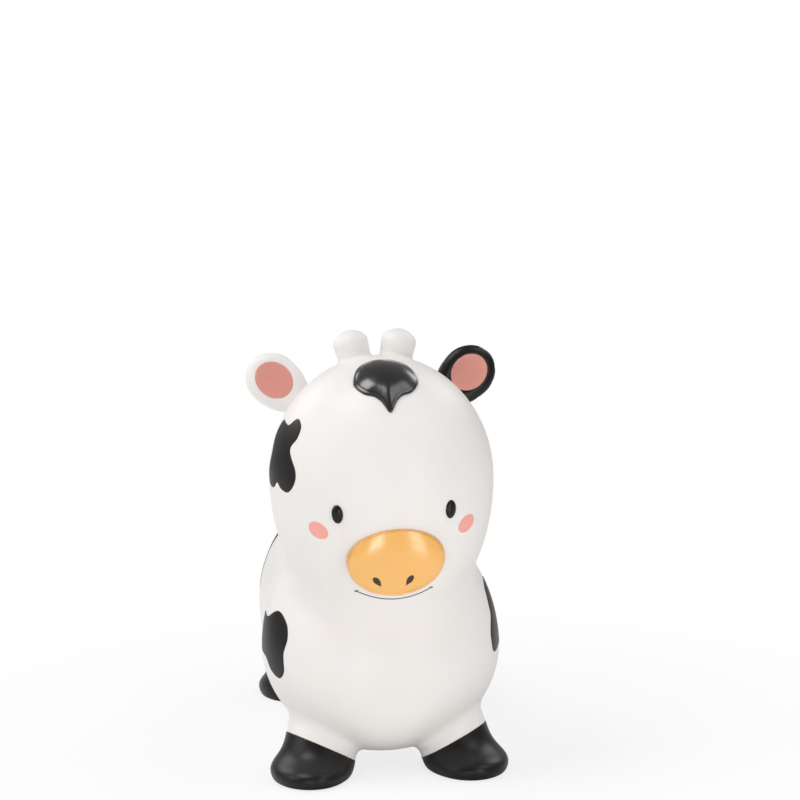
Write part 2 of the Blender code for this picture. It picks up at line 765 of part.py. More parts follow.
def patches(faces, forms, parts, cutters):
    """Each patch: name, where its sight line starts, which way it faces, its outline and turn."""
    head = (0, HEAD_Y, HEAD_Z)
    made = material("black_paint", BLACK_PAINT, SATIN)
    rows = (
        ("patch_brow_right", head, (-0.93, -0.29, 0.26), BROW_PATCH_SHARES,
         BROW_PATCH_HALF_SIZE, False, 0),
        ("patch_nape_left", head, (0.62, 0.76, 0.20), SHOULDER_PATCH_SHARES,
         NAPE_PATCH_HALF_SIZE, False, PATCH_TURN),
        ("patch_flank_right", (0, CHEST_Y, CHEST_Z), (-0.93, -0.19, 0.09), FLANK_PATCH_SHARES,
         FLANK_PATCH_HALF_SIZE, False, 0),
        ("patch_shoulder_left", (0, CHEST_Y, CHEST_Z), (0.93, -0.17, 0.17),
         SHOULDER_PATCH_SHARES, SHOULDER_PATCH_HALF_SIZE, False, 0),
        ("patch_haunch_right", (0, RUMP_Y, RUMP_Z), (-0.86, 0.22, 0.46), BROW_PATCH_SHARES,
         HAUNCH_PATCH_HALF_SIZE, False, PATCH_TURN),
        ("patch_haunch_left", (0, RUMP_Y, RUMP_Z), (0.72, 0.60, 0.22), FLANK_PATCH_SHARES,
         HAUNCH_PATCH_HALF_SIZE, True, PATCH_TURN / 4),
    )
    for name, start, facing, shares, half_size, mirrored, turn in rows:
        place = skin_point(start, facing, forms)
        outline = patch_outline(shares, half_size, mirrored)
        if mirrored:
            outline.reverse()
        prism = outline_prism(f"{name}_zone", facing_matrix(place, facing, turn), outline,
                              PATCH_REACH, cutters)
        coat(name, faces, prism, made, parts)


def ear_coats(faces, parts, cutters):
    """Black paint all over the left ear, and a pink lining in the cup of each."""
    reach = EAR_LENGTH
    for side, hand in ((-1, "right"), (1, "left")):
        along, facing = ear_axes(side)
        turn = turned(along, facing)
        front = Matrix((turn[0], turn[2], -turn[1])).transposed().to_4x4()
        middle = ear_middle(side)
        lining = oval_outline(EAR_HALF_WIDTH - EAR_LINING_INSET,
                              EAR_LENGTH / 2 - EAR_LINING_INSET)
        matrix = Matrix.Translation(middle + Vector(-turn[1]) * reach / 2) @ front
        depth = reach / 2 + EAR_CUP_DEPTH - EAR_HALF_THICKNESS + PAINT
        zone = outline_prism(f"lining_zone_{hand}", matrix, lining, depth, cutters, False)
        coat(f"ear_lining_{hand}", faces, zone, material("pink_paint", PINK_PAINT, MATT), parts)
        if side > 0:
            margin = oval_outline(EAR_HALF_WIDTH - EAR_LINING_INSET + GAP,
                                  EAR_LENGTH / 2 - EAR_LINING_INSET + GAP)
            rest = outline_prism("lining_margin", matrix, margin, depth, cutters, False)
            block = Matrix.Translation(Vector((EAR_ROOT_X, EAR_ROOT_Y, EAR_ROOT_Z))
                                       + along * (reach + EAR_PAINT_START)) @ front
            width = 2 * EAR_HALF_WIDTH + EAR_RIM
            zone = box("ear_zone", block, (width, 2 * reach, width), cutters)
            coat("ear_coat_left", faces, zone, material("black_paint", BLACK_PAINT, SATIN),
                 parts, rest)


def face_matrix(x, z, forms, cups, turn=0.0):
    """A frame on the front of the head, square to the skin there."""
    place = skin_point((x, HEAD_Y, z), (0, -1, 0), forms)
    _, slope = rise_and_normals(np.array([place]), forms, cups)
    return facing_matrix(place, slope[0], turn)


def face(faces, forms, cups, parts, cutters):
    black = material("black_paint", BLACK_PAINT, SATIN)
    for side, hand in ((-1, "right"), (1, "left")):
        eye = dome(f"eye_{hand}", face_matrix(side * EYE_X, EYE_Z, forms, cups), EYE_HALF_WIDTH,
                   EYE_HALF_HEIGHT, EYE_HALF_DEPTH, EYE_SQUARENESS, parts, EYE_SIDES, EYE_RINGS)
        cut(eye, faces[1], "DIFFERENCE")
        finish(eye, black)
        cheek = face_matrix(side * CHEEK_X, CHEEK_Z, forms, cups, side * CHEEK_TURN)
        zone = outline_prism(f"cheek_zone_{hand}", cheek,
                             oval_outline(CHEEK_HALF_WIDTH, CHEEK_HALF_HEIGHT),
                             PATCH_REACH, cutters, False)
        coat(f"cheek_{hand}", faces, zone, material("pink_paint", PINK_PAINT, MATT), parts)


def nostril_outline(margin):
    """A drop with its point down, and a margin all round it."""
    return [(across * (NOSTRIL_HALF_WIDTH + margin), up * (NOSTRIL_HALF_HEIGHT + margin))
            for across, up in NOSTRIL_SHARES]


def muzzle_and_nostrils(under, forms, parts, cutters):
    down = Vector((0, -math.cos(MUZZLE_TIP_DOWN), -math.sin(MUZZLE_TIP_DOWN)))
    place = skin_point((0, HEAD_Y, MUZZLE_Z), (0, -1, 0), forms)
    matrix = facing_matrix(place - down * MUZZLE_SINK, down)
    sizes = (MUZZLE_HALF_WIDTH, MUZZLE_HALF_HEIGHT, MUZZLE_HALF_DEPTH)
    piece = dome("muzzle", matrix, *sizes, MUZZLE_SQUARENESS, parts)
    cut(piece, under, "DIFFERENCE")
    deep = dome("nostril_floor", matrix, *(size - NOSTRIL_POCKET for size in sizes),
                MUZZLE_SQUARENESS, cutters)
    top = dome("nostril_top", matrix, *(size - NOSTRIL_POCKET + GAP + NOSTRIL_FILL
                                         for size in sizes), MUZZLE_SQUARENESS, cutters)
    floor = dome("nostril_base", matrix, *(size - NOSTRIL_POCKET + GAP for size in sizes),
                 MUZZLE_SQUARENESS, cutters)
    for side, hand in ((-1, "right"), (1, "left")):
        across = side * NOSTRIL_X + NOSTRIL_SHIFT
        spot = matrix @ Matrix.Translation((across, -NOSTRIL_DROP, MUZZLE_HALF_DEPTH))
        spot = spot @ Matrix.Rotation(-side * NOSTRIL_TURN, 4, "Z")
        pocket = outline_prism(f"nostril_pocket_{hand}", spot, nostril_outline(GAP),
                               MUZZLE_HALF_DEPTH, cutters)
        cut(pocket, deep, "DIFFERENCE")
        cut(piece, pocket, "DIFFERENCE")
        fill = outline_prism(f"nostril_{hand}", spot, nostril_outline(0), MUZZLE_HALF_DEPTH,
                             parts)
        cut(fill, floor, "DIFFERENCE")
        cut(fill, top, "INTERSECT")
        finish(fill, material("brown_paint", BROWN_PAINT, MATT))
    finish(piece, material("orange_paint", ORANGE_PAINT, SMOOTH_SATIN))


def mouth(faces, parts, cutters):
    """A smile drawn as a thin band between two arcs."""
    rise = MOUTH_END_Z - MOUTH_MIDDLE_Z
    upper = []
    lower = []
    for step in range(MOUTH_STEPS + 1):
        share = 2 * step / MOUTH_STEPS - 1
        height = rise * share * share
        upper.append((MOUTH_HALF_WIDTH * share, height + MOUTH_LINE / 2))
        lower.append((MOUTH_HALF_WIDTH * share, height - MOUTH_LINE / 2))
    outline = lower + upper[::-1]
    front = facing_matrix(Vector((0, HEAD_Y - HEAD_HALF_DEPTH, MOUTH_MIDDLE_Z)), (0, -1, 0))
    zone = outline_prism("mouth_zone", front, outline, HEAD_HALF_DEPTH / 2, cutters, False)
    coat("mouth_line", faces, zone, material("brown_paint", BROWN_PAINT, MATT), parts)


def forelock(under, forms, parts, cutters):
    """A rounded cap of hair with concave shoulders that meet in a point."""
    facing = (0, -math.cos(FORELOCK_FACING), math.sin(FORELOCK_FACING))
    place = skin_point((0, HEAD_Y, HEAD_Z), facing, forms)
    matrix = facing_matrix(place, facing)
    outline = [(across * FORELOCK_HALF_WIDTH,
                up * (FORELOCK_RISE if up > 0 else FORELOCK_DROP))
               for across, up in FORELOCK_SHARES]
    zone = outline_prism("forelock_zone", matrix, outline, FORELOCK_DROP, cutters)
    sink = Matrix.Translation((0, -FORELOCK_DOME_DROP, FORELOCK_STAND - FORELOCK_DOME_HALF_DEPTH))
    piece = dome("forelock", matrix @ sink, FORELOCK_DOME_HALF_WIDTH, FORELOCK_DOME_HALF_HEIGHT,
                 FORELOCK_DOME_HALF_DEPTH, ELLIPSE, parts, rings=FORELOCK_RINGS)
    cut(piece, zone, "INTERSECT")
    cut(piece, under, "DIFFERENCE")
    finish(piece, material("gloss_black_paint", BLACK_PAINT, GLOSS))


def tail_tuft(faces, parts, cutters):
    tuft = tail_forms()[-1]
    turn = Matrix(tuft.turn.tolist()).transposed().to_4x4()
    margin = GAP + PAINT + TAIL_PAINT_MARGIN
    zone = dome("tuft_zone", Matrix.Translation(tuft.centre) @ turn,
                TAIL_TUFT_HALF_WIDTH + margin, TAIL_TUFT_HALF_DEPTH + margin,
                TAIL_TUFT_HALF_LENGTH + margin, ELLIPSE, cutters)
    coat("tail_tuft", faces, zone, material("black_paint", BLACK_PAINT, SATIN), parts)


def new_collection(name):
    made = bpy.data.collections.new(name)
    bpy.context.scene.collection.children.link(made)
    return made


def build():
    for leftover in list(bpy.data.objects):
        bpy.data.objects.remove(leftover)
    parts = new_collection("bouncy_cow")
    cutters = new_collection("cutters")
    skin, outer, forms, cups, matrix = body_skin(parts, cutters)
    valve_seat(matrix, parts)
    valve_plug(matrix, parts)
    faces = paint_faces(outer, forms, cups, cutters)
    under = faces[1]
    hoof_coats(faces, parts, cutters)
    patches(faces, forms, parts, cutters)
    ear_coats(faces, parts, cutters)
    face(faces, forms, cups, parts, cutters)
    muzzle_and_nostrils(under, forms, parts, cutters)
    mouth(faces, parts, cutters)
    forelock(under, forms, parts, cutters)
    tail_tuft(faces, parts, cutters)
    for guide in cutters.objects:
        guide.hide_render = True
        guide.display_type = "WIRE"


build()
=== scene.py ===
"""Looks of the bouncy ride-on cow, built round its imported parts.

Metres, +Z up. The cow stands on z = 0 and looks along -Y, and its left is +X.
"""
import math
from collections import namedtuple

import bmesh
import bpy
import numpy as np
from mathutils import Matrix, Quaternion, Vector
from mathutils.geometry import interpolate_bezier


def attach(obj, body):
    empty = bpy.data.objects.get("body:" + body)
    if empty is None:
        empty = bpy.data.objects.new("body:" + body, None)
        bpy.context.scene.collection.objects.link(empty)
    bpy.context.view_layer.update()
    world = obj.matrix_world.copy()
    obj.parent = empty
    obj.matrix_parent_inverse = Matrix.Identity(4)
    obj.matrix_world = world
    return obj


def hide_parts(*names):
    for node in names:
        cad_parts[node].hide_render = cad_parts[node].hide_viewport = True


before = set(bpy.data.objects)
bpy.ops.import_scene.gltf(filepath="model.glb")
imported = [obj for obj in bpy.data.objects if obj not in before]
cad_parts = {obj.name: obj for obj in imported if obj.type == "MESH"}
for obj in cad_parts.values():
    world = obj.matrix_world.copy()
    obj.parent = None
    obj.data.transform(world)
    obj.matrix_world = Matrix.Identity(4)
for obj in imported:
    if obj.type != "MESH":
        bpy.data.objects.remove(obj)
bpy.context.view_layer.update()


# The skin is one hollow moulding of soft white PVC, spun in a heated mould until the
# plastisol has coated it, then blown up. Head, horns, ears, trunk, legs and tail are one
# smooth surface, drawn here as eggs that run into each other.
Egg = namedtuple("Egg", "centre radii drop turn blend")
UPRIGHT = np.identity(3)


def turned(length_axis, facing):
    """Rows are an egg's own axes: width, depth and length."""
    along = Vector(length_axis).normalized()
    front = Vector(facing)
    depth = -(front - along * front.dot(along)).normalized()
    width = depth.cross(along)
    return np.array([width, depth, along])


def egg(centre, half_width, half_depth, rise, drop, blend, turn=UPRIGHT):
    return Egg(np.array(centre), np.array((half_width, half_depth, rise)), drop, turn, blend)


# An egg's centre, half width, half depth, rise above and drop below the centre, and how wide
# its seam with the eggs listed before it is.
head = egg((0, -0.1397, 0.285), 0.1055, 0.106, 0.114, 0.149, 0.022)
chest = egg((0, -0.0997, 0.115), 0.114, 0.098, 0.130, 0.092, 0.040)
brisket = egg((0, -0.1227, 0.098), 0.0844, 0.070, 0.060, 0.0716, 0.040)
barrel = egg((0, 0.0223, 0.115), 0.105, 0.150, 0.095, 0.083, 0)
rump = egg((0, 0.1303, 0.118), 0.095, 0.105, 0.108, 0.090, 0.040)
trunk = [barrel, chest, rump, brisket, head]

# Where a leg stands, where its hoof stands, and which way along Y is outwards.
LEGS = {"front": ((0.062, -0.131), (0.0761, -0.150), -1),
        "rear": ((0.052, 0.166), (0.060, 0.1853), 1)}
LEG_Z = 0.035
LEG_SIZES = (0.034, 0.034, 0.052, 0.050)
LEG_BLEND = 0.009
HOOF_Z = 0.0085
HOOF_SIZES = (0.0372, 0.050, 0.0155, 0.021)
HOOF_BLEND = 0.020
LEG_SPLAY = math.tan(math.radians(17))
LEG_RAKE = math.tan(math.radians(31))
for (leg_x, leg_y), (hoof_x, hoof_y), outwards in LEGS.values():
    for side in (-1, 1):
        lean = turned((-side * LEG_SPLAY, -outwards * LEG_RAKE, 1), (0, -1, 0))
        trunk.append(egg((side * leg_x, leg_y, LEG_Z), *LEG_SIZES, LEG_BLEND, lean))
        trunk.append(egg((side * hoof_x, hoof_y, HOOF_Z), *HOOF_SIZES, HOOF_BLEND))

horns = []
HORN_LEAN = math.radians(13)
HORN_X = 0.023
HORN_Y = -0.1127
HORN_Z = 0.4089
HORN_STEM_SIZES = (0.0120, 0.0120, 0.030, 0.030)
HORN_STEM_BELOW = 0.020
HORN_KNOB_SIZES = (0.0165, 0.0155, 0.0109, 0.030)
HORN_BLEND = 0.006
for side in (-1, 1):
    lean = Vector((side * math.sin(HORN_LEAN), 0, math.cos(HORN_LEAN)))
    knob = Vector((side * HORN_X, HORN_Y, HORN_Z))
    turn = turned(lean, (0, -1, 0))
    horns.append(egg(knob - lean * HORN_STEM_BELOW, *HORN_STEM_SIZES, HORN_BLEND, turn))
    horns.append(egg(knob, *HORN_KNOB_SIZES, HORN_BLEND, turn))

EAR_ROOT = (0.0728, -0.0827, 0.3535)
EAR_LENGTH = 0.056
EAR_HALF_WIDTH = 0.0250
EAR_HALF_THICKNESS = 0.009
EAR_RIM = 0.0095
EAR_BLEND = 0.012
EAR_CUP_DEPTH = 0.0065
EAR_CUP_BLEND = 0.004
EAR_CLIMB = math.radians(41)
EAR_SWEEP = math.radians(8)
EAR_NOD = math.radians(14)


def ear_axes(side):
    """The ear's length axis and the way that its cup faces."""
    along = Vector((side * math.cos(EAR_CLIMB), math.sin(EAR_SWEEP), math.sin(EAR_CLIMB)))
    facing = Vector((side * math.sin(EAR_SWEEP), -1, math.sin(EAR_NOD)))
    return along.normalized(), facing.normalized()


def ear_middle(side):
    along, _ = ear_axes(side)
    return Vector((side * EAR_ROOT[0], EAR_ROOT[1], EAR_ROOT[2])) + along * EAR_LENGTH / 2


ears = []
cups = []
for side in (-1, 1):
    along, facing = ear_axes(side)
    turn = turned(along, facing)
    ears.append(egg(ear_middle(side), EAR_HALF_WIDTH, EAR_HALF_THICKNESS, EAR_LENGTH / 2,
                    EAR_LENGTH / 2 + EAR_RIM, EAR_BLEND, turn))
    cups.append(egg(ear_middle(side) + facing * EAR_HALF_THICKNESS, EAR_HALF_WIDTH - EAR_RIM,
                    EAR_CUP_DEPTH, EAR_LENGTH / 2 - EAR_RIM, EAR_LENGTH / 2, EAR_CUP_BLEND,
                    turn))


def rump_back(z):
    """A point at the back of the rump's own egg, at one height."""
    half_height = rump.radii[2] if z > rump.centre[2] else rump.drop
    reach = rump.radii[1] * math.sqrt(1 - ((z - rump.centre[2]) / half_height) ** 2)
    return Vector((0, rump.centre[1] + reach, z))


TAIL_ROOT_Z = 0.185
TAIL_TIP_Z = 0.122
TAIL_HALF_WIDTH = 0.008
TAIL_BLEND = 0.008
TUFT_SIZES = (0.015, 0.010, 0.022, 0.022)
tail_root = rump_back(TAIL_ROOT_Z)
tail_tip = rump_back(TAIL_TIP_Z)
tail_half = (tail_root - tail_tip).length / 2
tail_turn = turned(tail_root - tail_tip, (0, 1, 0))
tail = [egg((tail_root + tail_tip) / 2, TAIL_HALF_WIDTH, TAIL_HALF_WIDTH, tail_half, tail_half,
            TAIL_BLEND, tail_turn),
        egg(tail_tip, *TUFT_SIZES, TAIL_BLEND, tail_turn)]

moulding = trunk + horns + ears + tail
SOLE_ROUNDING = 0.003
SLOPE_STEP = 0.0001


def smooth_least(first, second, blend):
    """The lesser of two values, with the corner between them rounded over."""
    if not blend:
        return np.minimum(first, second)
    share = np.maximum(blend - np.abs(first - second), 0) / blend
    return np.minimum(first, second) - share * share * blend / 4


def height_over_egg(points, form):
    local = (points - form.centre) @ form.turn.T
    radii = np.tile(form.radii, (len(points), 1))
    radii[local[:, 2] < 0, 2] = form.drop
    scaled = local / radii
    reach = np.linalg.norm(scaled, axis=1)
    slope = np.linalg.norm(scaled / radii, axis=1)
    return reach * (reach - 1) / np.maximum(slope, SLOPE_STEP)


def height_over_skin(points):
    """Height over the moulding: below zero inside it, close to a distance near it."""
    height = height_over_egg(points, moulding[0])
    for form in moulding[1:]:
        height = smooth_least(height, height_over_egg(points, form), form.blend)
    for cup in cups:
        height = -smooth_least(-height, height_over_egg(points, cup), cup.blend)
    return -smooth_least(-height, points[:, 2], SOLE_ROUNDING)


def slopes_of_skin(points):
    slopes = np.empty_like(points)
    for axis in range(3):
        step = np.zeros(3)
        step[axis] = SLOPE_STEP
        ahead = height_over_skin(points + step)
        slopes[:, axis] = (ahead - height_over_skin(points - step)) / (2 * SLOPE_STEP)
    return slopes


def settle(points, level, steps=4):
    """Slides points along the slope until they lie at one height over the skin."""
    for _ in range(steps):
        slopes = slopes_of_skin(points)
        steepness = np.maximum((slopes * slopes).sum(axis=1), SLOPE_STEP)
        points = points - slopes * ((height_over_skin(points) - level) / steepness)[:, None]
    return points


def mesh_points(mesh):
    points = np.empty(len(mesh.vertices) * 3)
    mesh.vertices.foreach_get("co", points)
    return points.reshape(-1, 3)


def move_points(mesh, points):
    mesh.vertices.foreach_set("co", points.ravel())
    mesh.update()


def new_piece(name, shape, material, body, slot, *nodes):
    """A bmesh made into a smooth piece that rides on a body and stands for CAD nodes."""
    mesh = bpy.data.meshes.new(name)
    shape.to_mesh(mesh)
    shape.free()
    mesh.shade_smooth()
    piece = bpy.data.objects.new(name, mesh)
    bpy.context.scene.collection.objects.link(piece)
    if material:
        mesh.materials.append(material)
    if body:
        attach(piece, body)
        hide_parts(*nodes)
    return piece


def apply_modifiers(piece):
    graph = bpy.context.evaluated_depsgraph_get()
    graph.update()
    mesh = bpy.data.meshes.new_from_object(piece.evaluated_get(graph), depsgraph=graph)
    piece.modifiers.clear()
    piece.data = mesh


def add_node(tree, kind, inputs=None, links=None, **settings):
    """One shader node, with its settings, its plain inputs and its links."""
    made = tree.nodes.new(kind)
    for name, value in settings.items():
        setattr(made, name, value)
    for socket, value in (inputs or {}).items():
        made.inputs[socket].default_value = value
    for socket, source in (links or {}).items():
        tree.links.new(source, made.inputs[socket])
    return made


def srgb(hex_colour):
    """An sRGB hex colour as linear RGBA."""
    parts = [int(hex_colour[place:place + 2], 16) / 255 for place in (1, 3, 5)]
    return (*(part / 12.92 if part <= 0.04045 else ((part + 0.055) / 1.055) ** 2.4
              for part in parts), 1)


def per_metre(millimetres):
    """The noise scale whose blobs are this far apart."""
    return 1000 / millimetres


# The shades drift in clouds and the gloss in smears, the surface waves a little as a soft
# moulding does, and light spreads a few millimetres into it.
CLOUD_MM = 45
SMEAR_MM = 12
SMEAR_GLOSSIER = 0.04
SMEAR_DULLER = 0.05
WAVE_MM = 22
WAVE_HEIGHT = 0.0002
# Real orange peel is about 0.4 mm across. It is drawn coarser, as that is under a pixel here.
PEEL_MM = 1.6
LIGHT_DEPTH = 0.003
LIGHT_REACH = (1, 0.75, 0.6)


def moulded_finish(name, light, dark, roughness, orange_peel, ior=1.5, soft=0):
    """Two near shades in clouds, and a fine skin of orange peel over slow waves."""
    material = bpy.data.materials.new(name)
    material.use_nodes = True
    tree = material.node_tree
    shader = tree.nodes["Principled BSDF"]
    place = add_node(tree, "ShaderNodeTexCoord").outputs["Object"]
    clouds = add_node(tree, "ShaderNodeTexNoise", {"Scale": per_metre(CLOUD_MM), "Detail": 3},
                      {"Vector": place})
    shade = add_node(tree, "ShaderNodeMix", {"A": srgb(light), "B": srgb(dark)},
                     {"Factor": clouds.outputs["Fac"]}, data_type="RGBA")
    tree.links.new(shade.outputs["Result"], shader.inputs["Base Color"])
    smears = add_node(tree, "ShaderNodeTexNoise", {"Scale": per_metre(SMEAR_MM), "Detail": 4},
                      {"Vector": place})
    gloss = add_node(tree, "ShaderNodeMapRange",
                     {"To Min": roughness - SMEAR_GLOSSIER, "To Max": roughness + SMEAR_DULLER},
                     {"Value": smears.outputs["Fac"]})
    tree.links.new(gloss.outputs["Result"], shader.inputs["Roughness"])
    waves = add_node(tree, "ShaderNodeTexNoise", {"Scale": per_metre(WAVE_MM), "Detail": 1},
                     {"Vector": place})
    slow = add_node(tree, "ShaderNodeBump", {"Strength": 1, "Distance": WAVE_HEIGHT},
                    {"Height": waves.outputs["Fac"]})
    peel = add_node(tree, "ShaderNodeTexNoise", {"Scale": per_metre(PEEL_MM), "Detail": 2},
                    {"Vector": place})
    fine = add_node(tree, "ShaderNodeBump", {"Strength": 1, "Distance": orange_peel},
                    {"Height": peel.outputs["Fac"], "Normal": slow.outputs["Normal"]})
    tree.links.new(fine.outputs["Normal"], shader.inputs["Normal"])
    shader.inputs["IOR"].default_value = ior
    shader.inputs["Subsurface Weight"].default_value = soft
    shader.inputs["Subsurface Radius"].default_value = LIGHT_REACH
    shader.inputs["Subsurface Scale"].default_value = LIGHT_DEPTH
    return material


# Soft PVC (vinyl) as it comes from a satin-blasted mould: a warm white that light enters a
# little way, with broad soft highlights.
white_pvc = moulded_finish("white_vinyl", "#F6F3F0", "#F3EEEB", roughness=0.42,
                           orange_peel=0.000006, soft=0.12)

EGG_SIDES = 32
EGG_RINGS = 16
SKIN_VOXELS = (0.0050, 0.0025)
SKIN_RELAXES = 2
SMOOTHINGS = 4
RELAX_STEPS = 3
shape = bmesh.new()
for form in moulding:
    ball = bmesh.ops.create_uvsphere(shape, u_segments=EGG_SIDES, v_segments=EGG_RINGS,
                                     radius=1)
    for vert in ball["verts"]:
        half_height = form.radii[2] if vert.co.z > 0 else form.drop
        local = np.array((vert.co.x * form.radii[0], vert.co.y * form.radii[1],
                          vert.co.z * half_height))
        vert.co = Vector(form.centre + local @ form.turn)
skin = new_piece("cow_skin", shape, None, "cow", "white_pvc", "body_skin")
for voxel in SKIN_VOXELS:
    remesh = skin.modifiers.new("join", "REMESH")
    remesh.mode = "VOXEL"
    remesh.voxel_size = voxel
    apply_modifiers(skin)
    move_points(skin.data, settle(mesh_points(skin.data), 0))
for _ in range(SKIN_RELAXES):
    shape = bmesh.new()
    shape.from_mesh(skin.data)
    for _ in range(SMOOTHINGS):
        bmesh.ops.smooth_vert(shape, verts=shape.verts[:], factor=0.5, use_axis_x=True,
                              use_axis_y=True, use_axis_z=True)
    shape.to_mesh(skin.data)
    shape.free()
    move_points(skin.data, settle(mesh_points(skin.data), 0, RELAX_STEPS))
skin.data.shade_smooth()
skin.data.materials.clear()
skin.data.materials.append(white_pvc)


# The hooves are sprayed black over the white skin, up to a masked line that slopes down
# towards the inner side and the belly.
BLACK_LIFT = 0.00035
BLACK_THICKNESS = 0.0008
CUT_SLACK = 0.00001

# A sprayed vinyl lacquer with a satin sheen: nearly black, with soft grey highlights.
black_lacquer = moulded_finish("black_vinyl_lacquer", "#0D0C0C", "#090808", roughness=0.35,
                               orange_peel=0.000008, ior=1.4)


def place_verts(shape, points):
    for vert, point in zip(shape.verts, points):
        vert.co = point


def crust(name, planes, keep, lift, material, slot, *nodes):
    """The part of the skin inside some planes, lifted off it and given a thickness."""
    shape = bmesh.new()
    shape.from_mesh(skin.data)
    for point, outwards in planes:
        bmesh.ops.bisect_plane(shape, geom=shape.verts[:] + shape.edges[:] + shape.faces[:],
                               dist=CUT_SLACK, plane_co=point, plane_no=outwards,
                               clear_outer=True)
    away = [face for face in shape.faces if not keep(face.calc_center_median())]
    bmesh.ops.delete(shape, geom=away, context="FACES")
    place_verts(shape, settle(np.array([vert.co for vert in shape.verts]), lift, 2))
    bmesh.ops.solidify(shape, geom=shape.faces[:], thickness=BLACK_THICKNESS)
    bmesh.ops.recalc_face_normals(shape, faces=shape.faces[:])
    return new_piece(name, shape, material, "cow", slot, *nodes)


HOOF_LINE_Z = 0.0355
HOOF_LINE_DIP = math.tan(math.radians(27))
HOOF_LINE_PITCH = math.tan(math.radians(14))
HOOF_REACH_Y = 0.075
HOOF_INNER_X = 0.012
HOOF_SOLE_EDGE = 0.0006
for place, (_, (hoof_x, hoof_y), outwards) in LEGS.items():
    for side, hand in ((-1, "right"), (1, "left")):
        middle = Vector((side * hoof_x, hoof_y, HOOF_LINE_Z))
        slope = Vector((-side * HOOF_LINE_DIP, -outwards * HOOF_LINE_PITCH, 1))
        planes = [(middle, slope), (Vector((0, 0, HOOF_SOLE_EDGE)), Vector((0, 0, -1))),
                  (Vector((side * HOOF_INNER_X, 0, 0)), Vector((-side, 0, 0))),
                  (Vector((0, hoof_y - HOOF_REACH_Y, 0)), Vector((0, -1, 0))),
                  (Vector((0, hoof_y + HOOF_REACH_Y, 0)), Vector((0, 1, 0)))]
        crust(f"{place}_{hand}_hoof_paint", planes, lambda spot: True, BLACK_LIFT, black_lacquer,
              "black_paint", f"hoof_{place}_{hand}")


# The cow patches are sprayed through masks, with smooth lobed outlines. Each is a thin
# film here that hugs the skin and dives under it at its rim.
FILM_RING_SHARES = (0, 0.12, 0.25, 0.4, 0.55, 0.7, 0.82, 0.9, 0.95, 0.975, 1)
RIM_SHARE = 0.99
RIM_DIVE = 0.0002
FILM_DEPTH = 0.0007
DROP_REACH = 0.05
DROP_STEPS = 60
LEAVING_STEPS = 40
WELD = 0.0001


def facing_matrix(place, facing, turn=0.0):
    """A frame at a place, +Z along facing, +Y up the surface, turned about +Z."""
    out = Vector(facing).normalized()
    across = Vector((0, 0, 1)).cross(out).normalized()
    up = out.cross(across)
    axes = Matrix((across, up, out)).transposed().to_4x4()
    return Matrix.Translation(place) @ axes @ Matrix.Rotation(turn, 4, "Z")


def skin_point(start, facing):
    """Where a straight line that starts inside the skin leaves it."""
    along = Vector(facing).normalized()
    travel = 0.0
    for _ in range(LEAVING_STEPS):
        travel -= height_over_skin(np.array([Vector(start) + along * travel]))[0]
    return Vector(start) + along * travel


def rounded_outline(points, steps=8):
    """A closed curve through some points, with a few steps from each to the next."""
    corners = [Vector((*point, 0)) for point in points]
    curve = []
    for index, corner in enumerate(corners):
        after = corners[(index + 1) % len(corners)]
        leaving = (after - corners[index - 1]) / 6
        arriving = (corners[(index + 2) % len(corners)] - corner) / 6
        curve += interpolate_bezier(corner, corner + leaving, after - arriving, after,
                                    steps + 1)[:-1]
    return curve


def oval(half_width, half_height, sides=64):
    turns = [step * math.tau / sides for step in range(sides)]
    return [Vector((half_width * math.cos(turn), half_height * math.sin(turn), 0))
            for turn in turns]


def disc(outline, ring_shares):
    """Rings drawn out to an outline, and each vertex's share of the way out."""
    sides = len(outline)
    shape = bmesh.new()
    bmesh.ops.create_cone(shape, segments=sides, radius1=1, radius2=0, depth=1)
    for share in ring_shares[1:-1]:
        bmesh.ops.bisect_plane(shape, geom=shape.verts[:] + shape.edges[:] + shape.faces[:],
                               dist=CUT_SLACK, plane_co=(0, 0, 0.5 - share),
                               plane_no=(0, 0, 1))
    bmesh.ops.remove_doubles(shape, verts=shape.verts[:], dist=WELD)
    shares = []
    for vert in shape.verts:
        step = round(math.atan2(-vert.co.x, vert.co.y) / math.tau * sides) % sides
        share = 0.5 - vert.co.z
        shares.append(share)
        vert.co = outline[step] * share
    return shape, np.array(shares)


def close_under(shape, under):
    """A copy of an open film at other points, joined to it at the rim, makes it a solid.

    The copied vertices follow the first ones in the same order.
    """
    count = len(shape.verts)
    bmesh.ops.recalc_face_normals(shape, faces=shape.faces[:])
    copied = bmesh.ops.duplicate(shape, geom=shape.verts[:] + shape.edges[:] + shape.faces[:])
    lower = [item for item in copied["geom"] if isinstance(item, bmesh.types.BMVert)]
    for vert, point in zip(lower, under):
        vert.co = point
    bmesh.ops.reverse_faces(shape, faces=[item for item in copied["geom"]
                                          if isinstance(item, bmesh.types.BMFace)])
    rims = [edge for edge in shape.edges if edge.is_boundary]
    bmesh.ops.bridge_loops(shape, edges=rims)
    bmesh.ops.recalc_face_normals(shape, faces=shape.faces[:])
    assert len(shape.verts) == 2 * count


def drop_on_skin(points, inwards, reach):
    """Points sent along one direction, from a reach outside, until they lie on the skin."""
    points = points - inwards * reach
    for _ in range(DROP_STEPS):
        points = points + inwards * height_over_skin(points)[:, None]
    return points


def film(name, matrix, outline, lift, material, slot, *nodes, reach=DROP_REACH):
    """A film of paint: an outline dropped on the skin along its frame's axis."""
    shape, shares = disc(outline, FILM_RING_SHARES)
    flat = np.array([matrix @ vert.co for vert in shape.verts])
    points = drop_on_skin(flat, -np.array(matrix.col[2].xyz), reach)
    place_verts(shape, settle(points, np.where(shares > RIM_SHARE, -RIM_DIVE, lift)))
    close_under(shape, settle(points, -FILM_DEPTH))
    return new_piece(name, shape, material, "cow", slot, *nodes)


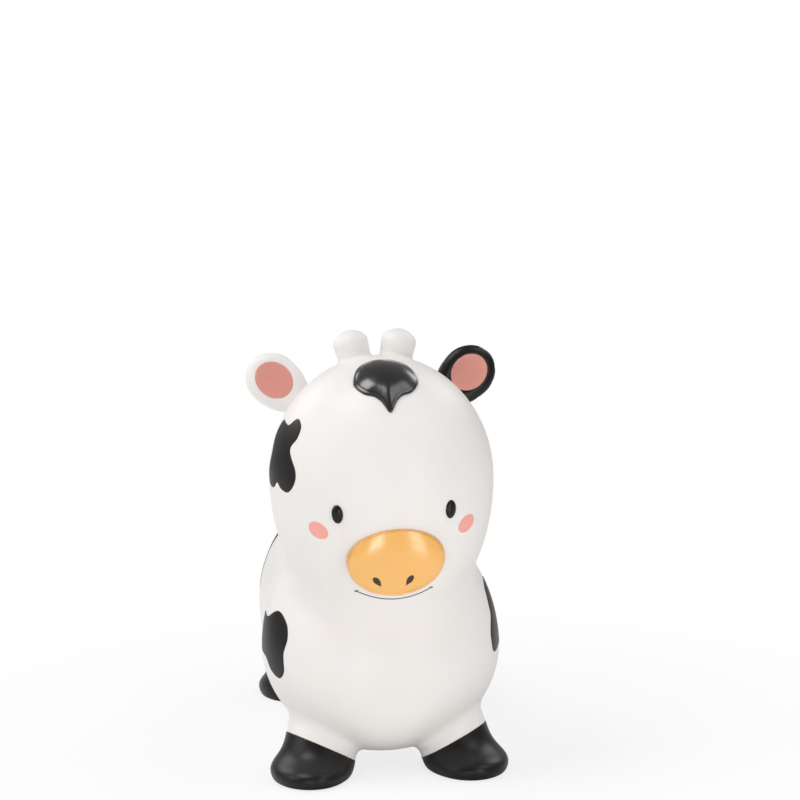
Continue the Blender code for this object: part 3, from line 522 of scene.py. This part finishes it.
BROW_SHARES = (
    (0.31, 1.00), (0.64, 0.84), (0.68, 0.55), (0.51, 0.23), (0.90, -0.21), (0.90, -0.53),
    (0.62, -0.78), (0.25, -0.76), (-0.02, -0.63), (-0.30, -0.78), (-0.72, -0.74), (-1.00, -0.42),
    (-0.80, 0.02), (-0.94, 0.48), (-0.66, 0.86), (-0.28, 0.82), (0.00, 0.80),
)
FLANK_SHARES = (
    (0.80, 0.34), (0.66, 0.76), (0.28, 1.00), (-0.22, 0.72), (-0.64, 0.78), (-1.00, 0.34),
    (-0.86, -0.24), (-0.48, -0.32), (-0.04, -0.42), (0.22, -0.72), (0.54, -0.86), (0.76, -0.60),
    (0.74, -0.10),
)
SHOULDER_SHARES = (
    (-0.18, 0.88), (0.28, 1.00), (0.70, 0.76), (0.60, 0.28), (0.98, -0.08), (0.88, -0.58),
    (0.42, -0.68), (0.00, -0.44), (-0.38, -0.52), (-0.58, -0.54), (-0.70, -0.42), (-0.68, -0.08),
    (-0.43, 0.29), (-0.38, 0.49),
)
QUARTER = math.radians(100)
Patch = namedtuple("Patch", "start facing shares half_width half_height turn")
PATCHES = {
    "brow_right": Patch(head, (-0.93, -0.29, 0.26), BROW_SHARES, 0.0340, 0.0385, 0),
    "nape_left": Patch(head, (0.62, 0.76, 0.20), SHOULDER_SHARES, 0.0360, 0.0330, QUARTER),
    "flank_right": Patch(chest, (-0.93, -0.19, 0.09), FLANK_SHARES, 0.0440, 0.0340, 0),
    "shoulder_left": Patch(chest, (0.93, -0.17, 0.17), SHOULDER_SHARES, 0.0430, 0.0440, 0),
    "haunch_right": Patch(rump, (-0.86, 0.22, 0.46), BROW_SHARES, 0.0420, 0.0360, QUARTER),
    "haunch_left": Patch(rump, (0.72, 0.60, 0.22), FLANK_SHARES, -0.0420, 0.0360, QUARTER / 4),
}
for place, patch in PATCHES.items():
    spot = skin_point(patch.start.centre, patch.facing)
    outline = rounded_outline([(across * patch.half_width, up * patch.half_height)
                               for across, up in patch.shares])
    film(f"{place}_patch", facing_matrix(spot, patch.facing, patch.turn), outline, BLACK_LIFT,
         black_lacquer, "black_paint", f"patch_{place}")


# The left ear is sprayed black all over, up to a masked line where it leaves the head. Both
# cups are then sprayed pink, on the left ear over the black.
LINING_OVER_BLACK = 0.0008
LINING_INSET = 0.0085
LINING_REACH = 0.03
EAR_PAINT_START = 0.004

# A pink vinyl lacquer sprayed close to matt, so the cups show soft shading and no reflection.
pink_lining = moulded_finish("pink_vinyl_lacquer", "#E8A193", "#E09385", roughness=0.46,
                             orange_peel=0.00001)
along, _ = ear_axes(1)
ear_line = Vector(EAR_ROOT) + along * EAR_PAINT_START


def on_left_ear(spot):
    return (spot - ear_middle(1)).length < EAR_LENGTH


crust("left_ear_paint", [(ear_line, -along)], on_left_ear, BLACK_LIFT, black_lacquer,
      "black_paint", "ear_coat_left")
for side, hand in ((-1, "right"), (1, "left")):
    along, facing = ear_axes(side)
    turn = turned(along, facing)
    front = Matrix((turn[0], turn[2], -turn[1])).transposed().to_4x4()
    matrix = Matrix.Translation(ear_middle(side)) @ front
    film(f"{hand}_ear_lining", matrix, oval(EAR_HALF_WIDTH - LINING_INSET,
                                            EAR_LENGTH / 2 - LINING_INSET),
         LINING_OVER_BLACK if side > 0 else BLACK_LIFT, pink_lining, "pink_paint",
         f"ear_lining_{hand}", reach=LINING_REACH)


# The eyes are moulded as smooth ovals that stand out of the skin, and are painted a glossy
# black. The cheeks are flat ovals, sprayed salmon pink through a mask.
EYE_X = 0.052
EYE_Z = 0.2667
EYE_SIZES = (0.0056, 0.0086, 0.0030)
EYE_SQUARENESS = 2.2
EYE_SIDES = 96
EYE_RINGS = 48
EYE_POLE = 0.0001
CHEEK_X = 0.0685
CHEEK_Z = 0.2500
CHEEK_TURN = math.radians(20)
CHEEK_SIZES = (0.0110, 0.0080)


def pad(name, matrix, sizes, squareness, material, slot, node):
    """A ball drawn out to three sizes, fuller at its sides as squareness passes 2."""
    half_width, half_height, half_depth = sizes
    shape = bmesh.new()
    bmesh.ops.create_uvsphere(shape, u_segments=EYE_SIDES, v_segments=EYE_RINGS, radius=1)
    for vert in shape.verts:
        ring = math.hypot(vert.co.x, vert.co.y)
        wider = ring ** (2 / squareness - 1) if ring > EYE_POLE else 0
        height = math.copysign(abs(vert.co.z) ** (2 / squareness), vert.co.z)
        vert.co = matrix @ Vector((vert.co.x * wider * half_width,
                                   vert.co.y * wider * half_height, height * half_depth))
    return new_piece(name, shape, material, "cow", slot, node)


def on_face(x, z, turn=0.0):
    """A frame on the front of the head, square to the skin there."""
    place = skin_point((x, head.centre[1], z), (0, -1, 0))
    return facing_matrix(place, slopes_of_skin(np.array([place]))[0], turn)


# A black lacquer brushed on thick: a deep black with one small faint highlight in each eye.
eye_gloss = moulded_finish("eye_lacquer", "#100E0D", "#0C0B0A", roughness=0.26,
                           orange_peel=0.000004, ior=1.4)
# A thin pink vinyl lacquer, close to matt: a flat blush with the skin's own soft shading.
cheek_pink = moulded_finish("cheek_lacquer", "#FDB2A5", "#F9AA9C", roughness=0.48,
                            orange_peel=0.00001)
for side, hand in ((-1, "right"), (1, "left")):
    pad(f"{hand}_eye_dome", on_face(side * EYE_X, EYE_Z), EYE_SIZES, EYE_SQUARENESS,
        eye_gloss, "black_paint", f"eye_{hand}")
    film(f"{hand}_cheek_blush", on_face(side * CHEEK_X, CHEEK_Z, side * CHEEK_TURN),
         oval(*CHEEK_SIZES), BLACK_LIFT, cheek_pink, "pink_paint", f"cheek_{hand}")


# The muzzle is a raised oval cushion of the same moulding, with a low wall round it. It is
# sprayed a light orange and then lacquered. The darker orange on the wall is painted shade.
MUZZLE_X = 0.0008
MUZZLE_Z = 0.2200
MUZZLE_TIP_DOWN = math.radians(12)
MUZZLE_ROLL = math.radians(3)
MUZZLE_SIZES = (0.0458, 0.0338)
MUZZLE_SIDES = 160
MUZZLE_BALL = (0.0468, 0.0356, 0.0200)
MUZZLE_SQUARENESS = 2.4
MUZZLE_SINK = 0.0105
MUZZLE_BLEND = 0.0075
MUZZLE_WALL = 0.0027
MUZZLE_WALL_SHARE = 0.955
MUZZLE_RING_SHARES = [step / 56 for step in range(53)] + [
    0.945, 0.955, 0.965, 0.975, 0.983, 0.99, 0.995, 0.9985, 1]
MUZZLE_RIM_SHARE = 0.999
# Where the painted shade on the muzzle's wall starts, how far it fades in, and how strong it is.
PAINTED_SHADE_START_SHARE = 0.945
PAINTED_SHADE_FADE = 0.03
PAINTED_SHADE_STRENGTH = 0.9
down = Vector((0, -math.cos(MUZZLE_TIP_DOWN), -math.sin(MUZZLE_TIP_DOWN)))
muzzle_seat = skin_point((MUZZLE_X, head.centre[1], MUZZLE_Z), (0, -1, 0))
muzzle_frame = facing_matrix(muzzle_seat - down * MUZZLE_SINK, down, MUZZLE_ROLL)


def lacquered(material, roughness):
    """Adds a clear coat over the paint, which doubles the mirror part of the light."""
    shader = material.node_tree.nodes["Principled BSDF"]
    shader.inputs["Coat Weight"].default_value = 1.0
    shader.inputs["Coat Roughness"].default_value = roughness


def paint_shade_over(material, attribute, deeper, strength):
    """Lays a darker colour over the places that an attribute marks, as painted shade."""
    tree = material.node_tree
    shader = tree.nodes["Principled BSDF"]
    before = shader.inputs["Base Color"].links[0].from_socket
    marks = add_node(tree, "ShaderNodeAttribute", attribute_name=attribute)
    amount = add_node(tree, "ShaderNodeMath", {1: strength}, {0: marks.outputs["Fac"]},
                      operation="MULTIPLY")
    blend = add_node(tree, "ShaderNodeMix", {"B": srgb(deeper)},
                     {"A": before, "Factor": amount.outputs[0]}, data_type="RGBA")
    tree.links.new(blend.outputs["Result"], shader.inputs["Base Color"])


def mark(piece, attribute, values):
    layer = piece.data.attributes.new(attribute, "FLOAT", "POINT")
    layer.data.foreach_set("value", np.array(values, dtype=np.float32))


# An orange vinyl lacquer under a clear coat: the smoothest paint on the toy, so it shows the
# two windows in front of it as its clearest reflections.
orange_lacquer = moulded_finish("orange_vinyl_lacquer", "#FEC167", "#FCBA5F", roughness=0.24,
                                orange_peel=0.000003)
lacquered(orange_lacquer, roughness=0.17)
shape, shares = disc(oval(*MUZZLE_SIZES, MUZZLE_SIDES), MUZZLE_RING_SHARES)
flat = np.array([vert.co for vert in shape.verts])
out = np.array(down)
plane = np.array([muzzle_frame @ vert.co for vert in shape.verts])
ground = drop_on_skin(plane, -out, DROP_REACH)
ground_rise = (ground - plane) @ out
reach = np.clip(np.hypot(flat[:, 0] / MUZZLE_BALL[0], flat[:, 1] / MUZZLE_BALL[1]), 0, 1)
ball = MUZZLE_BALL[2] * (1 - reach ** MUZZLE_SQUARENESS) ** (1 / MUZZLE_SQUARENESS)
rise = -smooth_least(-ball, -ground_rise - MUZZLE_WALL, MUZZLE_BLEND)
outer = np.clip((shares - MUZZLE_WALL_SHARE) / (1 - MUZZLE_WALL_SHARE), 0, 1)
rise = ground_rise + (rise - ground_rise) * np.sqrt(1 - outer ** 3)
rise = rise - RIM_DIVE * (shares > MUZZLE_RIM_SHARE)
place_verts(shape, plane + out * rise[:, None])
close_under(shape, settle(ground, -FILM_DEPTH))
muzzle = new_piece("muzzle_cushion", shape, orange_lacquer, "cow", "orange_paint", "muzzle")
# The shares are listed twice, for the cushion's face and for the copy under it.
# The wall's marks carry painted shade: a darker orange laid on the wall to stand in for the
# shade there.
mark(muzzle, "wall", list(np.clip((shares - PAINTED_SHADE_START_SHARE) / PAINTED_SHADE_FADE, 0, 1)) * 2)
paint_shade_over(orange_lacquer, "wall", "#E5A04C", PAINTED_SHADE_STRENGTH)


# The nostrils are two shallow dents in the muzzle. Each is painted dark brown, as a drop that
# leans inwards.

# A brown vinyl ink, thin and dull: a dark warm line or spot without a clear highlight.
brown_ink = moulded_finish("brown_ink", "#3F342E", "#352B26", roughness=0.45,
                           orange_peel=0.000005)
NOSTRIL_SPOTS = {"right": (-0.0194, -0.0140), "left": (0.0100, -0.0150)}
NOSTRIL_SHARES = ((0, 1), (0.64, 0.80), (0.98, 0.30), (0.84, -0.20), (0.42, -0.66), (0, -1),
                  (-0.42, -0.66), (-0.84, -0.20), (-0.98, 0.30), (-0.64, 0.80))
NOSTRIL_TURN = math.radians(33)
NOSTRIL_SIZES = (0.0031, 0.0062)
NOSTRIL_RING_SHARES = (0, 0.3, 0.6, 0.85, 1)
NOSTRIL_DENT = 0.0012
NOSTRIL_DENT_SIZES = (0.0046, 0.0072)
NOSTRIL_LIFT = 0.00025
NOSTRIL_HEIGHT = 0.04
INK_DIVE = 0.0001
for side, hand in ((-1, "right"), (1, "left")):
    spot = muzzle_frame @ Matrix.Translation((*NOSTRIL_SPOTS[hand], 0))
    spot = spot @ Matrix.Rotation(-side * NOSTRIL_TURN, 4, "Z")
    outline = rounded_outline([(across * NOSTRIL_SIZES[0], up * NOSTRIL_SIZES[1])
                               for across, up in NOSTRIL_SHARES])
    across, up, out = (Vector(spot.col[axis].xyz) for axis in range(3))
    centre = spot.translation
    for vert in muzzle.data.vertices:
        local = vert.co - centre
        if local.dot(out) < 0:
            continue
        reach = math.hypot(local.dot(across) / NOSTRIL_DENT_SIZES[0],
                           local.dot(up) / NOSTRIL_DENT_SIZES[1])
        if reach < 1:
            vert.co -= out * NOSTRIL_DENT * (1 - reach * reach) ** 2
    muzzle.data.update()
    # The lines below meet the dent only once the muzzle is brought up to date.
    bpy.context.view_layer.update()
    shape, shares = disc(outline, NOSTRIL_RING_SHARES)
    top = []
    for vert, share in zip(shape.verts, shares):
        start = spot @ vert.co + out * NOSTRIL_HEIGHT
        _, place, _, _ = muzzle.ray_cast(start, -out)
        top.append(place + out * (NOSTRIL_LIFT if share < RIM_SHARE else -INK_DIVE))
    place_verts(shape, top)
    close_under(shape, [point - out * FILM_DEPTH for point in top])
    new_piece(f"{hand}_nostril_drop", shape, brown_ink, "cow", "brown_paint", f"nostril_{hand}")


# The mouth is one fine printed line, a shallow smile under the muzzle, with a tick at
# each end.
MOUTH_HALF_WIDTH = 0.0348
MOUTH_END_Z = 0.1915
MOUTH_MIDDLE_Z = 0.1828
MOUTH_LINE = 0.0011
MOUTH_STEPS = 60
MOUTH_TICK = 0.0019
MOUTH_TICK_LINE = 0.0017
MOUTH_TICK_SLOPES = ((-1, 0.30), (1, -0.10))
MOUTH_TICK_STEPS = 8
STROKE_ROWS = 4
STROKE_TIP_SHARE = 0.999
STROKE_END_WIDTH = 0.25
STROKE_END_STEPS = 3
INK_LIFT = 0.0003
INK_REACH = 0.03


def stroke(shape, route, width):
    """A line of ink along a route, drawn on the skin, with its ends rounded."""
    strip = bmesh.new()
    columns = len(route) - 1
    bmesh.ops.create_grid(strip, x_segments=columns, y_segments=STROKE_ROWS, size=1)
    points = []
    for vert in strip.verts:
        column = round((vert.co.x + 1) / 2 * columns)
        here = Vector(route[column])
        ahead = Vector(route[min(column + 1, columns)]) - Vector(route[max(column - 1, 0)])
        aside = Vector((-ahead.y, ahead.x)).normalized()
        end = min(column, columns - column)
        wide = math.sqrt(1 - (1 - min(end, STROKE_END_STEPS) / STROKE_END_STEPS) ** 2)
        share = STROKE_END_WIDTH + (1 - STROKE_END_WIDTH) * wide
        flat = here + aside * vert.co.y * width / 2 * share
        points.append((flat.x, head.centre[1] - head.radii[1], flat.y))
    points = drop_on_skin(np.array(points), np.array((0, 1, 0)), INK_REACH)
    edge = np.array([abs(vert.co.y) > RIM_SHARE or abs(vert.co.x) > STROKE_TIP_SHARE
                     for vert in strip.verts])
    place_verts(strip, settle(points, np.where(edge, -INK_DIVE, INK_LIFT)))
    close_under(strip, settle(points, -FILM_DEPTH))
    mesh = bpy.data.meshes.new("stroke")
    strip.to_mesh(mesh)
    strip.free()
    shape.from_mesh(mesh)
    bpy.data.meshes.remove(mesh)


shape = bmesh.new()
smile = []
for step in range(MOUTH_STEPS + 1):
    share = 2 * step / MOUTH_STEPS - 1
    smile.append((MOUTH_HALF_WIDTH * share,
                  MOUTH_MIDDLE_Z + (MOUTH_END_Z - MOUTH_MIDDLE_Z) * share * share))
stroke(shape, smile, MOUTH_LINE)
for side, slope in MOUTH_TICK_SLOPES:
    tip = Vector((side * MOUTH_HALF_WIDTH, MOUTH_END_Z))
    lean = Vector((1, slope)).normalized() * MOUTH_TICK
    stroke(shape, [tip - lean + lean * 2 * step / MOUTH_TICK_STEPS
                   for step in range(MOUTH_TICK_STEPS + 1)], MOUTH_TICK_LINE)
bmesh.ops.recalc_face_normals(shape, faces=shape.faces[:])
new_piece("mouth_print", shape, brown_ink, "cow", "brown_paint", "mouth_line")


# The forelock is moulded as a raised cap of hair that runs out to a point on the brow. A low
# rim follows its edge, and the cap inside it is domed.

# A black lacquer under a clear coat: deep black, with clear pale highlights along its dome.
gloss_black = moulded_finish("gloss_black_lacquer", "#0C0B0B", "#080707", roughness=0.26,
                             orange_peel=0.000003, ior=1.4)
lacquered(gloss_black, roughness=0.18)
FORELOCK_FACING = math.radians(63)
FORELOCK_REACH = 0.03
FORELOCK_HALF_WIDTH = 0.0300
FORELOCK_RISE = 0.0310
FORELOCK_DROP = 0.0432
FORELOCK_SHARES = (
    (0.00, 1.00), (0.42, 0.92), (0.80, 0.60), (1.00, 0.02), (0.93, -0.24), (0.72, -0.44),
    (0.44, -0.55), (0.27, -0.67), (0.16, -0.80), (0.07, -0.92), (0.00, -0.955), (-0.07, -0.92),
    (-0.16, -0.80), (-0.27, -0.67), (-0.44, -0.55), (-0.72, -0.44), (-0.93, -0.24),
    (-1.00, 0.02), (-0.80, 0.60), (-0.42, 0.92),
)
FORELOCK_STEPS = 10
FORELOCK_RING_SHARES = (0, 0.1, 0.2, 0.3, 0.4, 0.5, 0.6, 0.7, 0.78, 0.84, 0.88, 0.91, 0.935,
                        0.955, 0.97, 0.98, 0.99, 1)
RIM_HEIGHT = 0.0022
RIM_START_SHARE = 0.93
GROOVE_SHARE = 0.82
DOME_HEIGHT = 0.0062
DOME_FULLNESS = 0.7


def forelock_height(share):
    """Height over the skin from the middle, 0, to the edge, 1."""
    if share > RIM_START_SHARE:
        out = (share - RIM_START_SHARE) / (1 - RIM_START_SHARE)
        return RIM_HEIGHT * math.sqrt(max(1 - out ** 3, 0)) - RIM_DIVE * out
    dome = (share / RIM_START_SHARE) ** 2
    return RIM_HEIGHT * GROOVE_SHARE + (DOME_HEIGHT - RIM_HEIGHT) * (1 - dome) ** DOME_FULLNESS


facing = Vector((0, -math.cos(FORELOCK_FACING), math.sin(FORELOCK_FACING)))
matrix = facing_matrix(skin_point(head.centre, facing), facing)
outline = rounded_outline([(across * FORELOCK_HALF_WIDTH,
                            up * (FORELOCK_RISE if up > 0 else FORELOCK_DROP))
                           for across, up in FORELOCK_SHARES], FORELOCK_STEPS)
shape, shares = disc(outline, FORELOCK_RING_SHARES)
flat = np.array([matrix @ vert.co for vert in shape.verts])
points = drop_on_skin(flat, -np.array(facing), FORELOCK_REACH)
ground = settle(points, 0)
slopes = slopes_of_skin(ground)
heights = np.array([forelock_height(share) for share in shares])
outwards = slopes / np.linalg.norm(slopes, axis=1)[:, None]
place_verts(shape, ground + outwards * heights[:, None])
close_under(shape, settle(points, -FILM_DEPTH))
new_piece("forelock_cap", shape, gloss_black, "cow", "gloss_black_paint", "forelock")


# The tail is part of the moulding and lies against the rump. Its tuft is sprayed black
# through a mask, over the raised end.
TUFT_LIFT = 0.0003
TUFT_PAINT_SIZES = (0.0150, 0.0215)
TUFT_REACH = 0.02
tuft = tail[-1]
tuft_frame = facing_matrix(skin_point(tuft.centre, -tuft.turn[1]), -tuft.turn[1])
film("tail_tuft_paint", tuft_frame, oval(*TUFT_PAINT_SIZES), TUFT_LIFT, black_lacquer,
     "black_paint", "tail_tuft", reach=TUFT_REACH)


# The air valve is a cloudy PVC seat with a flange, moulded into the rump, and a ribbed plug
# that is pushed into it. The plug slides out along its own axis.

# Clear PVC that has gone cloudy: a pale grey that light enters, with a soft sheen.
clear_pvc = moulded_finish("cloudy_clear_vinyl", "#DEDDD6", "#D2D1C9", roughness=0.30,
                           orange_peel=0.000006, soft=0.3)
VALVE_FACING = math.radians(-24)
VALVE_START_Z = 0.118
VALVE_STEPS = 72
VALVE_ROUNDING = 0.0003
SEAT_TOP = -0.0007
FLANGE_RADIUS = 0.0120
FLANGE_THICKNESS = 0.0016
NECK_RADIUS = 0.0080
SEAT_LENGTH = 0.0150
BORE_RADIUS = 0.0042
LEAD_IN = 0.0008
PLUG_CLEARANCE = 0.0003
PLUG_HEAD_RADIUS = 0.0085
PLUG_HEAD_THICKNESS = 0.0018
PLUG_LENGTH = 0.0200
PLUG_TIP_RADIUS = 0.0025
GROOVE_DEPTH = 0.0006
GROOVE_PITCH = 0.0050
SEAT_GAP = 0.00015
DRILL_TOP = 0.02
BEVEL_ANGLE = math.radians(30)
SEAT_EDGE_ANGLE = math.radians(40)
VALVE_WELD = 0.000001
facing = Vector((0, math.cos(VALVE_FACING), math.sin(VALVE_FACING)))
valve_frame = facing_matrix(skin_point((0, rump.centre[1], VALVE_START_Z), facing), facing)


def spun(profile, ring=False):
    """A profile of (radius, height) turned round the valve's axis; a ring's is closed."""
    shape = bmesh.new()
    verts = [shape.verts.new((radius, 0, height)) for radius, height in profile]
    edges = [shape.edges.new(pair) for pair in zip(verts, verts[1:] + verts[:1] * ring)]
    bmesh.ops.spin(shape, geom=verts + edges, axis=(0, 0, 1), cent=(0, 0, 0), angle=math.tau,
                   steps=VALVE_STEPS, use_merge=True)
    bmesh.ops.remove_doubles(shape, verts=shape.verts[:], dist=VALVE_WELD)
    bmesh.ops.recalc_face_normals(shape, faces=shape.faces[:])
    return shape


def turned_part(name, profile, body, node, ring=False):
    """A turned valve part with its sharp edges rounded."""
    shape = spun(profile, ring)
    sharp = [edge for edge in shape.edges if edge.calc_face_angle(0) > BEVEL_ANGLE]
    bmesh.ops.bevel(shape, geom=sharp, offset=VALVE_ROUNDING, offset_type="OFFSET", segments=3,
                    profile=0.5, affect="EDGES", clamp_overlap=True, material=-1)
    bmesh.ops.transform(shape, verts=shape.verts[:], matrix=valve_frame)
    return new_piece(name, shape, clear_pvc, body, "clear_pvc", node)


neck_top = SEAT_TOP - FLANGE_THICKNESS
foot = SEAT_TOP - SEAT_LENGTH

# The skin is opened round the seat: a shallow recess for the flange and a bore for the neck.
wide = FLANGE_RADIUS + SEAT_GAP
narrow = NECK_RADIUS + SEAT_GAP
shape = spun([(0, DRILL_TOP), (wide, DRILL_TOP), (wide, neck_top - SEAT_GAP),
              (narrow, neck_top - SEAT_GAP), (narrow, foot - SEAT_GAP), (0, foot - SEAT_GAP)])
bmesh.ops.transform(shape, verts=shape.verts[:], matrix=valve_frame)
drill = new_piece("valve_drill", shape, white_pvc, None, None)
opening = skin.modifiers.new("valve_opening", "BOOLEAN")
opening.object = drill
opening.operation = "DIFFERENCE"
opening.solver = "EXACT"
apply_modifiers(skin)
skin.data.set_sharp_from_angle(angle=SEAT_EDGE_ANGLE)
bpy.data.objects.remove(drill)
turned_part("air_valve_seat", [
    (BORE_RADIUS + LEAD_IN, SEAT_TOP), (FLANGE_RADIUS, SEAT_TOP), (FLANGE_RADIUS, neck_top),
    (NECK_RADIUS, neck_top), (NECK_RADIUS, foot + LEAD_IN), (NECK_RADIUS - LEAD_IN, foot),
    (BORE_RADIUS, foot), (BORE_RADIUS, SEAT_TOP - LEAD_IN)], "cow", "valve_seat", True)
under = SEAT_TOP + PLUG_CLEARANCE
stem = BORE_RADIUS - PLUG_CLEARANCE
top = under + PLUG_HEAD_THICKNESS
profile = [(0, top - GROOVE_DEPTH / 2), (PLUG_HEAD_RADIUS / 2, top - GROOVE_DEPTH / 2),
           (PLUG_HEAD_RADIUS * 0.6, top), (PLUG_HEAD_RADIUS - GROOVE_DEPTH, top),
           (PLUG_HEAD_RADIUS, top - GROOVE_DEPTH), (PLUG_HEAD_RADIUS, under), (stem, under)]
for groove in (1, 2, 3):
    middle = under - groove * GROOVE_PITCH
    profile += [(stem, middle + GROOVE_DEPTH), (stem - GROOVE_DEPTH, middle),
                (stem, middle - GROOVE_DEPTH)]
foot = under - PLUG_LENGTH
profile += [(stem, foot + PLUG_TIP_RADIUS), (PLUG_TIP_RADIUS, foot), (0, foot)]
turned_part("air_valve_plug", profile, "plug", "valve_plug")


# Studio: a pale floor that runs out of sight in a white room. The floor and the room are at
# full white only as the camera sees them. Nothing here is metal or glass, so no piece has to
# mirror that white, and the soft boxes give the highlights.
FLOOR_HALF = 30
WHITE_START = 0.22
WHITE_END = 0.62
WHITE_START_SHARE = 0.78
ROOM_LIGHT = 0.335
shape = bmesh.new()
bmesh.ops.create_grid(shape, x_segments=1, y_segments=1, size=FLOOR_HALF)
floor = new_piece("studio_floor", shape, None, None, None)
# A matt white floor paint, which takes the soft shadow under the hooves.
floor_paint = bpy.data.materials.new("matt_floor_paint")
floor_paint.use_nodes = True
tree = floor_paint.node_tree
shader = tree.nodes["Principled BSDF"]
shader.inputs["Base Color"].default_value = srgb("#F4F4F3")
shader.inputs["Roughness"].default_value = 0.9
path = add_node(tree, "ShaderNodeLightPath")
glow = add_node(tree, "ShaderNodeEmission", {"Color": (1, 1, 1, 1), "Strength": 1})
place = add_node(tree, "ShaderNodeTexCoord").outputs["Object"]
away = add_node(tree, "ShaderNodeVectorMath", None, {0: place}, operation="LENGTH")
# The floor keeps the soft shadow near the hooves and turns to plain white further out.
whiter = add_node(tree, "ShaderNodeMapRange",
                  {"From Min": WHITE_START, "From Max": WHITE_END,
                   "To Min": WHITE_START_SHARE, "To Max": 1}, {"Value": away.outputs["Value"]})
share = add_node(tree, "ShaderNodeMath", None, {0: path.outputs["Is Camera Ray"],
                                                1: whiter.outputs["Result"]},
                 operation="MULTIPLY")
mixed = add_node(tree, "ShaderNodeMixShader", None,
                 {0: share.outputs[0], 1: shader.outputs[0], 2: glow.outputs[0]})
tree.links.new(mixed.outputs[0], tree.nodes["Material Output"].inputs["Surface"])
floor.data.materials.append(floor_paint)

world = bpy.data.worlds.new("white_room")
bpy.context.scene.world = world
world.use_nodes = True
tree = world.node_tree
path = add_node(tree, "ShaderNodeLightPath")
seen = add_node(tree, "ShaderNodeMix", {"A": ROOM_LIGHT, "B": 1},
                {"Factor": path.outputs["Is Camera Ray"]})
tree.nodes["Background"].inputs["Color"].default_value = (1, 1, 1, 1)
tree.links.new(seen.outputs["Result"], tree.nodes["Background"].inputs["Strength"])


def soft_box(name, azimuth, distance, height, width, tall, power, aim_height):
    """A rectangular lamp at an azimuth round the cow, where 0 is straight in front of it."""
    light = bpy.data.lights.new(name, "AREA")
    light.shape = "RECTANGLE"
    light.size = width
    light.size_y = tall
    light.energy = power
    lamp = bpy.data.objects.new(name, light)
    bpy.context.scene.collection.objects.link(lamp)
    turn = math.radians(azimuth)
    lamp.location = (distance * math.sin(turn), -distance * math.cos(turn), height)
    aim = Vector((0, 0, aim_height))
    lamp.rotation_euler = (lamp.location - aim).to_track_quat("Z", "Y").to_euler()


# Name, azimuth, distance, height, width, tall, power and the height aimed at. Left and right
# are the picture's. The top boxes hang over the flanks, the left one being the key, and the
# side one fills in under it. The front ones stand low on either side of the camera and show
# in the muzzle, and the back ones light the rump.
soft_box("left_top_box", -70, 0.85, 2.1, 0.8, 0.8, 12.5, 0.4)
soft_box("left_side_box", -80, 1.5, 0.9, 1.0, 1.0, 5.6, 0.2)
soft_box("left_front_box", -16, 1.51, 0.21, 0.36, 0.36, 2.3, 0.22)
soft_box("right_front_box", 22.7, 0.87, 0.32, 0.20, 0.60, 1.2, 0.22)
soft_box("right_top_box", 62, 1.3, 2.0, 1.0, 1.0, 6, 0.4)
soft_box("left_back_box", -134, 1.45, 1.25, 0.8, 0.8, 5.5, 0.1)
soft_box("right_back_box", 125, 1.6, 1.4, 0.8, 0.8, 5.5, 0.1)

# The camera stands where the photograph's did.
CAMERA_AZIMUTH = math.radians(-6.49)
CAMERA_ELEVATION = math.radians(14.92)
CAMERA_ROLL = math.radians(1.35)
CAMERA_DISTANCE = 2.75
CAMERA_AIM = Vector((0.0373, 0, 0.3365))
CAMERA_LENS = 122
camera = bpy.data.objects.new("camera", bpy.data.cameras.new("camera"))
bpy.context.scene.collection.objects.link(camera)
bpy.context.scene.camera = camera
camera.data.lens = CAMERA_LENS
camera.location = CAMERA_DISTANCE * Vector((
    math.sin(CAMERA_AZIMUTH) * math.cos(CAMERA_ELEVATION),
    -math.cos(CAMERA_AZIMUTH) * math.cos(CAMERA_ELEVATION), math.sin(CAMERA_ELEVATION)))
sight = (camera.location - CAMERA_AIM).to_track_quat("Z", "Y")
camera.rotation_euler = (sight @ Quaternion((0, 0, 1), -CAMERA_ROLL)).to_euler()
bpy.context.scene.view_settings.view_transform = "Standard"
